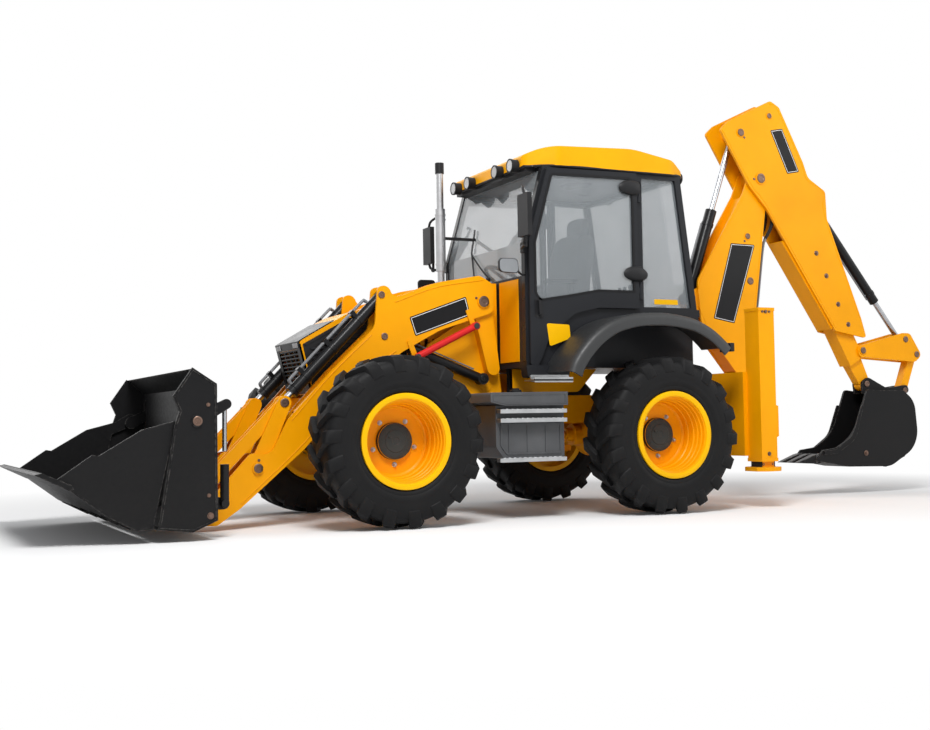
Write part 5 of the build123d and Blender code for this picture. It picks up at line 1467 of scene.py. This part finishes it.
@dataclass
class Inside:
    """Seat, steering wheel, levers and console, as they show through the glass."""
    wheel_centre: Point = (855, 0, 1945)
    wheel_r: float = 190

    def seat(self) -> None:
        """The seat's stuffed cushion, back and head rest over the frame's plain ones."""
        stuffed = {"seat_cushion": cushion_block((282, -248, 1650), (782, 248, 1790), 0.35),
                   "seat_back": cushion_block((120, -240, 1740), (330, 240, 2352), 0.4, 110),
                   "seat_headrest": cushion_block((95, -130, 2340), (190, 130, 2500), 0.5, 20)}
        for name, shape in stuffed.items():
            add_piece(name, shape, Finish.CLOTH, "chassis")
        rests = [side_plate([(330, 1900, 20), (640, 1900, 20), (650, 1935, 16), (330, 1945, 20)], 262, 318),
                 side_plate([(360, 1700, 10), (420, 1700, 10), (400, 1905), (340, 1905)], 255, 275)]
        add_piece("arm_rests", both(rests), Finish.BLACK, "chassis", bevel=0.006)

    def steering(self) -> None:
        """The steering wheel's grip, a torus about the sloping column, its spokes and boss."""
        axis = np.array([-0.55, 0.0, 0.835])
        axis /= np.linalg.norm(axis)
        across = np.array([0.0, 1.0, 0.0])
        up = np.cross(axis, across)
        turn = np.linspace(0, 2 * np.pi, 72, endpoint=False)[:, None]
        ring = np.array(self.wheel_centre) + self.wheel_r * (across * np.cos(turn) + up * np.sin(turn))
        spokes = [pipe(np.array([np.array(self.wheel_centre), ring[k]]), 13, 10) for k in (3, 33, 54)]
        add_piece("steering_wheel", joined([pipe(ring, 17, 12, True), *spokes]), Finish.BLACK, "chassis")

    def levers(self) -> None:
        """Control levers with their knobs behind the seat, the side console and the floor mat."""
        sticks = []
        for x, y in ((-380, 120), (-380, 200), (-380, 60), (-420, -90), (-420, -170)):
            sticks.append(pipe(curve([(x, y, 1715), (x + 10, y, 1800), (x + 26, y, 1890)], 5), 7, 8))
            grip = [(-26, 0.5), (-22, 12), (0, 17), (20, 14), (27, 0.5)]
            sticks.append(turned(grip, (x + 28, y, 1912), Axis.Z, 16))
        mat = box((460, -600, 1215.3), (1030, 600, 1224))
        console = [(240, 1216), (640, 1216), (640, 1600, 40), (520, 1700, 30), (240, 1700, 30)]
        right_console = flipped(side_plate(console, 380, 520))
        add_piece("control_levers", joined(sticks), Finish.BLACK, "chassis")
        add_piece("cab_fittings", joined([mat, right_console]), Finish.INSIDE, "chassis", bevel=0.004)

    def build(self) -> None:
        """Adds all of it."""
        self.seat()
        self.steering()
        self.levers()


@dataclass
class Sides:
    """Steps, frame sides, tank details, mudguards, tail lamps, exhaust and stabiliser fittings."""
    tread_places: tuple[Point, ...] = ((929, 1000, 841), (929, 1000, 771), (929, 985, 471))
    front: float = 1440
    rear: float = 865
    arch: tuple[Place, ...] = ((910, 1132), (875, 1212), (798, 1314), (690, 1420), (554, 1509), (420, 1557),
                               (289, 1584), (150, 1594), (19, 1594), (-140, 1577), (-289, 1543),
                               (-440, 1470), (-560, 1378), (-608, 1330))
    exhaust: tuple[float, float] = (1350, -230)
    leg_y: float = 1040

    def treads(self) -> None:
        """Alloy treads: a thin plate with a turned-down lip and rows of raised round grips."""
        parts = []
        for y0, y1, z in self.tread_places:
            parts += [box((self.rear, y0, z), (self.front, y1 + 2, z + 3)),
                      box((self.rear, y1, z - 27), (self.front, y1 + 3, z + 3))]
            grips = np.arange(self.rear + 30, self.front - 10, 44)
            for k, y in enumerate(np.arange(y0 + 18, y1 - 4, 22)):
                parts += [tread_grip(x + (k % 2) * 22, y, z + 3) for x in grips[:-1]]
        add_piece("step_treads", both(parts), Finish.TREAD, "chassis")

    def frame_sides(self) -> None:
        """The frame's side plates under the cab, and the grey lining under the roof."""
        side = side_plate([(250, 1172), (1040, 1172), (1040, 985, 20), (430, 985, 60)], 440, 447)
        add_piece("frame_sides", both([side]), Finish.YELLOW, "chassis", smooth=False)
        add_piece("headliner", box((-430, -684, 2784), (955, 684, 2788.5)), Finish.GREY, "chassis",
                  smooth=False)

    def door_step(self) -> None:
        """The pale step that hangs under each door, and its dark hanger."""
        hanger = side_plate([(1098, 1190), (1084, 1090, 30), (716, 1090, 30), (700, 1190)], 690, 792)
        tread = box((724, 700, 1064), (1070, 868, 1076))
        lips = [box((724, 862, 1052), (1070, 868, 1092)),
                side_plate([(1072, 1112, 12), (1064, 1058, 14), (730, 1058, 14), (722, 1112, 12)], 790, 802)]
        grips = [tread_grip(x, y, 1076) for x in np.arange(750, 1060, 40) for y in (818, 846)]
        add_piece("door_steps", both([tread, *lips, *grips]), Finish.TREAD, "chassis")
        add_piece("step_hangers", both([hanger]), Finish.CAB, "chassis")

    def tank(self) -> None:
        """The tank's filler cap, moulded seams, the access door's frame ring and the lip round its top."""
        cap = [turned([(0, 0.5), (0, 46), (18, 46), (24, 40), (24, 0.5)], (1180, 760, 973), Axis.Z, 32),
               box((1150, 754, 996), (1210, 766, 1010))]
        seams = [box((x, 929.5, 500), (x + 10, 936, 740)) for x in (1010, 1170, 1330)]
        panel = rounded([(880, 500, 20), (1360, 500, 40), (1410, 570, 40), (1410, 735, 20), (880, 735, 20)])
        frame_ring = side_ring(panel, inset(panel, 12), 929.5, 937)
        top = rounded([(870, 884, 12), (1395, 884, 12), (1500, 908, 12), (1500, 958, 12), (870, 962, 12)])
        lip = side_ring(top, inset(top, 8), 999.5, 1004)
        add_piece("tank_details", both(seams + [frame_ring, lip]), Finish.TANK, "chassis")
        add_piece("tank_caps", both(cap), Finish.BLACK, "chassis")

    def guards(self) -> None:
        """The mudguards over the frame's angular ones, and the tail lamps.

        The section, crowned on top and turned down at the outside into a skirt with a rolled lip, is carried
        round the arch: a point at depth d and width y lies d towards the wheel from the arch's line.
        """
        line = curve(self.arch, 10)
        towards = np.array([60.0, 700.0]) - line
        towards /= np.linalg.norm(towards, axis=1)[:, None]
        depth = np.array([0, 0, 3, 12, 28, 50, 100, 108, 108, 100, 52, 34, 22, 14, 13])
        across = np.array([749, 1085, 1122, 1146, 1159, 1164, 1166, 1160, 1150, 1146, 1148, 1143, 1130, 1100,
                           749])
        points = np.zeros((len(line), len(depth), 3))
        points[..., 0] = line[:, 0:1] + towards[:, 0:1] * depth
        points[..., 2] = line[:, 1:2] + towards[:, 1:2] * depth
        points[..., 1] = across
        guard = (points.reshape(-1, 3), tube_faces(*points.shape[:2]))
        add_piece("mudguards", both([guard]), Finish.GUARD, "chassis", replaces=["rear_fenders"])
        for name, finish, low, high, bevel in (
                ("tail_lamp_boxes", Finish.BLACK, (-642, 990, 1290), (-604, 1140, 1360), 0.004),
                ("tail_lamps_red", Finish.LAMP_RED, (-647, 1066, 1297), (-641, 1133, 1353), 0.002),
                ("tail_lamps_amber", Finish.LAMP_AMBER, (-647, 997, 1297), (-641, 1060, 1353), 0.002)):
            add_piece(name, both([box(low, high)]), finish, "chassis", bevel=bevel)

    def exhaust_tip(self) -> None:
        """The exhaust's black tip, heat shield, bands and stay."""
        x, y = self.exhaust
        tip = [(2862, 30), (2862, 38), (2952, 38), (2954, 34), (2954, 31), (2870, 30)]
        shield = [(2030, 33), (2030, 42), (2560, 42), (2560, 33)]
        bands = [[(z, 40), (z, 46), (z + 16, 46), (z + 16, 40)] for z in (2080, 2500)]
        sleeves = [turned(profile, (x, y, 0), Axis.Z, 36) for profile in (shield, *bands)]
        stay = box((x - 330, y - 8, 2300), (x - 30, y + 8, 2324))
        add_piece("exhaust_tip", turned(tip, (x, y, 0), Axis.Z, 36), Finish.BLACK, "chassis")
        add_piece("exhaust_shield", joined(sleeves), Finish.STEEL, "chassis")
        add_piece("exhaust_stay", stay, Finish.BLACK, "chassis")

    def legs(self) -> None:
        """The stabiliser sleeves' bolts, collars and rear brackets, and the feet's boots and pins."""
        y = self.leg_y + 90
        bolts = [bolt((-973, y, 1625), 13, 1), bolt((-975, y, 448), 13, 1), bolt((-1010, y, 1625), 9, 1),
                 bolt((-940, y, 1625), 9, 1)]
        bracket = side_plate([(-1060.2, 578), (-1088, 592, 8), (-1088, 840, 8), (-1060.2, 852)], 1010, 1122)
        bands = [bracket, self.collar(1630, 1657), self.collar(384, 412)]
        add_piece("leg_bolts", both(bolts), Finish.PIN, "chassis")
        add_piece("leg_collars", both(bands), Finish.YELLOW, "chassis", smooth=False)
        boot = box((-1053, 977, 339), (-907, 1103, 383))
        pins = joined([pin_head(-1030, 361, 1103, 12), pin_head(-930, 361, 1103, 12)])
        for hand, side in (("left", 1), ("right", -1)):
            add_piece("foot_boot_" + hand, sided(boot, side), Finish.BLACK, "stabiliser_" + hand)
            add_piece("foot_pins_" + hand, sided(pins, side), Finish.PIN, "stabiliser_" + hand)

    def collar(self, z0: float, z1: float) -> Shape:
        """A square band round a stabiliser's sleeve: a four-sided section carried round a rectangle.

        Args:
            z0: its foot.
            z1: its top.

        Returns:
            The shape.
        """
        outer = np.array([(-1064, 946), (-896, 946), (-896, 1134), (-1064, 1134)])
        centre = outer.mean(axis=0)
        inner = centre + (outer - centre) * np.array([(160 - 1) / 168, (180 - 1) / 188])
        rings = [np.insert(line, 2, z, axis=1)
                 for line, z in ((outer, z0), (outer, z1), (inner, z1), (inner, z0))]
        return np.stack(rings, axis=1).reshape(-1, 3), grid_faces(4, 4, True, True).tolist()

    def build(self) -> None:
        """Adds all of it."""
        self.treads()
        self.door_step()
        self.frame_sides()
        self.tank()
        self.guards()
        self.exhaust_tip()
        self.legs()


@dataclass
class Backhoe:
    """Plates, pins, pipes, hoses and edges of the boom, dippers and digging bucket."""
    boom_w: float = 90
    dipper_w: float = 125
    boom_plate: tuple[Place, ...] = ((-1441, 2353), (-1713, 2349), (-1457, 1614), (-1225, 1654))
    dipper_plate: tuple[Place, ...] = ((-1902, 3432), (-2043, 3460), (-2234, 3062), (-2091, 3035))
    wear_bolts: tuple[Place, ...] = ((-2414, 2296), (-2529, 2084), (-2664, 1815), (-2782, 1623))
    tip_pins: tuple[Place, ...] = ((-2979, 1376), (-3538, 1491), (-3679, 1343))
    bucket_w: float = 165
    tooth_ys: tuple[float, ...] = (-120, 0, 120)
    pipe_ys: tuple[float, ...] = (-56, -36, 36, 56)

    def plates(self) -> None:
        """The bare black plates on both sides of boom and dipper, with pale keylines."""
        blank_plate("boom", self.boom_plate, self.boom_w + 0.2, "boom")
        blank_plate("dipper", self.dipper_plate, self.dipper_w + 0.2, "dipper")

    def pins(self) -> None:
        """Pin heads and bolts along the boom, dipper, levers and bucket."""
        w, d = self.boom_w, self.dipper_w
        boom = [pin_head(-1630, 2426, w + 6, 26), pin_head(-1652, 2010, w, 34),
                pin_head(-1000, 1840, w - 6, 30), bolt((-1598, w, 2380), 8, 1)]
        add_piece("boom_pins", both(boom), Finish.PIN, "boom")
        dipper = [pin_head(-1772, 2970, d + 10, 44), pin_head(-1554, 3383, d + 8, 34),
                  pin_head(-1890, 3567, d + 7, 24), bolt((-1700, d, 2960), 9, 1),
                  bolt((-1600, d, 3340), 8, 1)]
        dipper += [joined([knob((x, d, z), 24, 5), bolt((x, d + 5, z), 13, 1)]) for x, z in self.wear_bolts]
        add_piece("dipper_pins", both(dipper), Finish.PIN, "dipper")
        foot = [pin_head(-1535, 780, w + 38, 40), pin_head(-1690, 540, w + 34, 34)]
        add_piece("kingpost_pins", both(foot), Finish.PIN, "kingpost")
        tip = [pin_head(*self.tip_pins[0], 103, 32), pin_head(*self.tip_pins[1], 95, 30),
               pin_head(*self.tip_pins[2], 95, 30)]
        add_piece("tip_pins", both(tip), Finish.PIN, "tip_lever")
        digger = [pin_head(-3046, 1052, 66.5, 30), pin_head(-3537, 987, 66.5, 28),
                  joined([knob((-2920, self.bucket_w, 386), 26, 5),
                          bolt((-2920, self.bucket_w + 5, 386), 14, 1)])]
        add_piece("digger_pins", both(digger), Finish.PIN, "digger")

    def welds(self) -> None:
        """Weld beads beside the plates' edges on boom and dipper."""
        side = [(-1250, 1470), (-1130, 1625), (-1085, 1985), (-1600, 2790)]
        back = [(-1684, 1650), (-1700, 1800), (-1862, 2880)]
        beads = [weld(line, self.boom_w) for line in (side, back)]
        add_piece("boom_welds", both(beads), Finish.YELLOW, "boom")
        edge = [(-1900, 3686), (-2000, 3630), (-2262, 3150), (-2325, 3000), (-2525, 2880), (-2538, 2640),
                (-2930, 1690)]
        front = [(-1350, 3395), (-1670, 2900), (-1860, 2690), (-2625, 1590)]
        beads = [weld(line, self.dipper_w) for line in (edge, front)]
        add_piece("dipper_welds", both(beads), Finish.YELLOW, "dipper")

    def lines(self) -> None:
        """Steel pipes and hoses on the boom's back, and the rams' pipes and glands."""
        run = ((-1640, 960), (-1700, 1500), (-1760, 1800), (-1835, 2300), (-1872, 2420))
        bend = ((-1872, 1.0, 2415), (-1935, 1.1, 2520), (-1960, 1.15, 2640), (-1915, 1.2, 2760))
        pipes = [pipe(curve([(x, y, z) for x, z in run], 8), 8, 10) for y in self.pipe_ys]
        hoses = [pipe(curve([(x, y * spread, z) for x, spread, z in bend], 8), 10, 10) for y in self.pipe_ys]
        add_piece("boom_pipes", joined(pipes), Finish.PIPE, "boom")
        add_piece("boom_hoses", joined(hoses), Finish.HOSE, "boom")
        for name, base, eye, body, radius, reach in (
                ("dipper", (-1000, 1840), (-1554, 3383), "dipper_barrel", 52, 730),
                ("digger", (-2426, 2846), (-3538, 1491), "bucket_barrel", 46, 1180),
                ("boom", (-1690, 540), (-1652, 2010), "boom_barrel", 55, 830)):
            away = radius + 14
            spots = [(110, radius - 4), (114, away - 4), (140, away), (reach - 60, away),
                     (reach - 30, away - 4), (reach - 24, radius - 4)]
            flip = -1 if name == "dipper" else 1
            path = np.array([(*beside(base, eye, along, off * flip), 0.0)
                             for along, off in spots])[:, [0, 2, 1]]
            gland = turned_between(beside(base, eye, reach - 20, 0), beside(base, eye, reach + 14, 0), 0,
                                   radius + 5)
            add_piece(name + "_ram_pipe", pipe(curve(path, 6), 8, 10), Finish.PIPE, body)
            add_piece(name + "_ram_gland", gland, Finish.CYLINDER, body)

    def bucket(self) -> None:
        """Tooth caps, side cutters and wear strips of the digging bucket."""
        caps = []
        for y in self.tooth_ys:
            cap = side_plate([(-2103, 313.5), (-2106, 320), (-2300, 386, 8), (-2345, 392), (-2345, 316),
                              (-2300, 304)], y - 33.5, y + 33.5)
            wide = np.interp(cap[0][:, 0], [-2345, -2103], [1.0, 0.6])
            cap[0][:, 1] = y + (cap[0][:, 1] - y) * wide
            caps.append(cap)
            caps.append(moved(knob((-2372, y, 392), 11, 5, Axis.Z), (0, 0, -1)))
        add_piece("digger_teeth", joined(caps), Finish.EDGE, "digger", smooth=False)
        w = self.bucket_w
        cutter = side_plate([(-2900, 850, 20), (-2872, 850, 20), (-2752, 560, 200), (-2550, 432, 40),
                             (-2400, 418), (-2400, 380), (-2560, 392, 60), (-2790, 520, 200)], w + 0.3,
                             w + 11)
        heel = [side_plate([(-3480, 340), (-3230, 243), (-3226, 248), (-3476, 346)], y, y + 40)
                for y in (-100, 60)]
        add_piece("side_cutters", both([cutter]), Finish.BUCKET, "digger", smooth=False)
        add_piece("heel_strips", joined(heel), Finish.BUCKET, "digger", smooth=False)

    def rails(self) -> None:
        """Clamp bolts of the side-shift carriage and the caps of the slew pins."""
        clamps = [bolt((-1016.5, y, z), 15, -1, Axis.X) for y in (120, 165) for z in (455, 1105)]
        add_piece("carriage_bolts", both(clamps), Finish.PIN, "carriage")
        caps = [knob((-1400, 0, 1060), 58, 14, Axis.Z, 32), knob((-1400, 0, 500), 58, -12, Axis.Z, 32)]
        add_piece("slew_caps", joined(caps), Finish.PIN, "carriage")

    def build(self) -> None:
        """Adds all of it."""
        self.plates()
        self.pins()
        self.welds()
        self.lines()
        self.bucket()
        self.rails()


def main() -> None:
    """Builds the studio, dresses the frame and adds the pieces, each assembly in turn."""
    logging.basicConfig(level=logging.INFO, format="%(message)s")
    Studio().build()
    dress_nodes()
    for assembly in (Wheels(), LoaderArms(), Shovel(), Bonnet(), Cab(), Inside(), Sides(), Backhoe()):
        LOG.info("assembly %s", type(assembly).__name__)
        assembly.build()


if __name__ == "__main__":
    main()
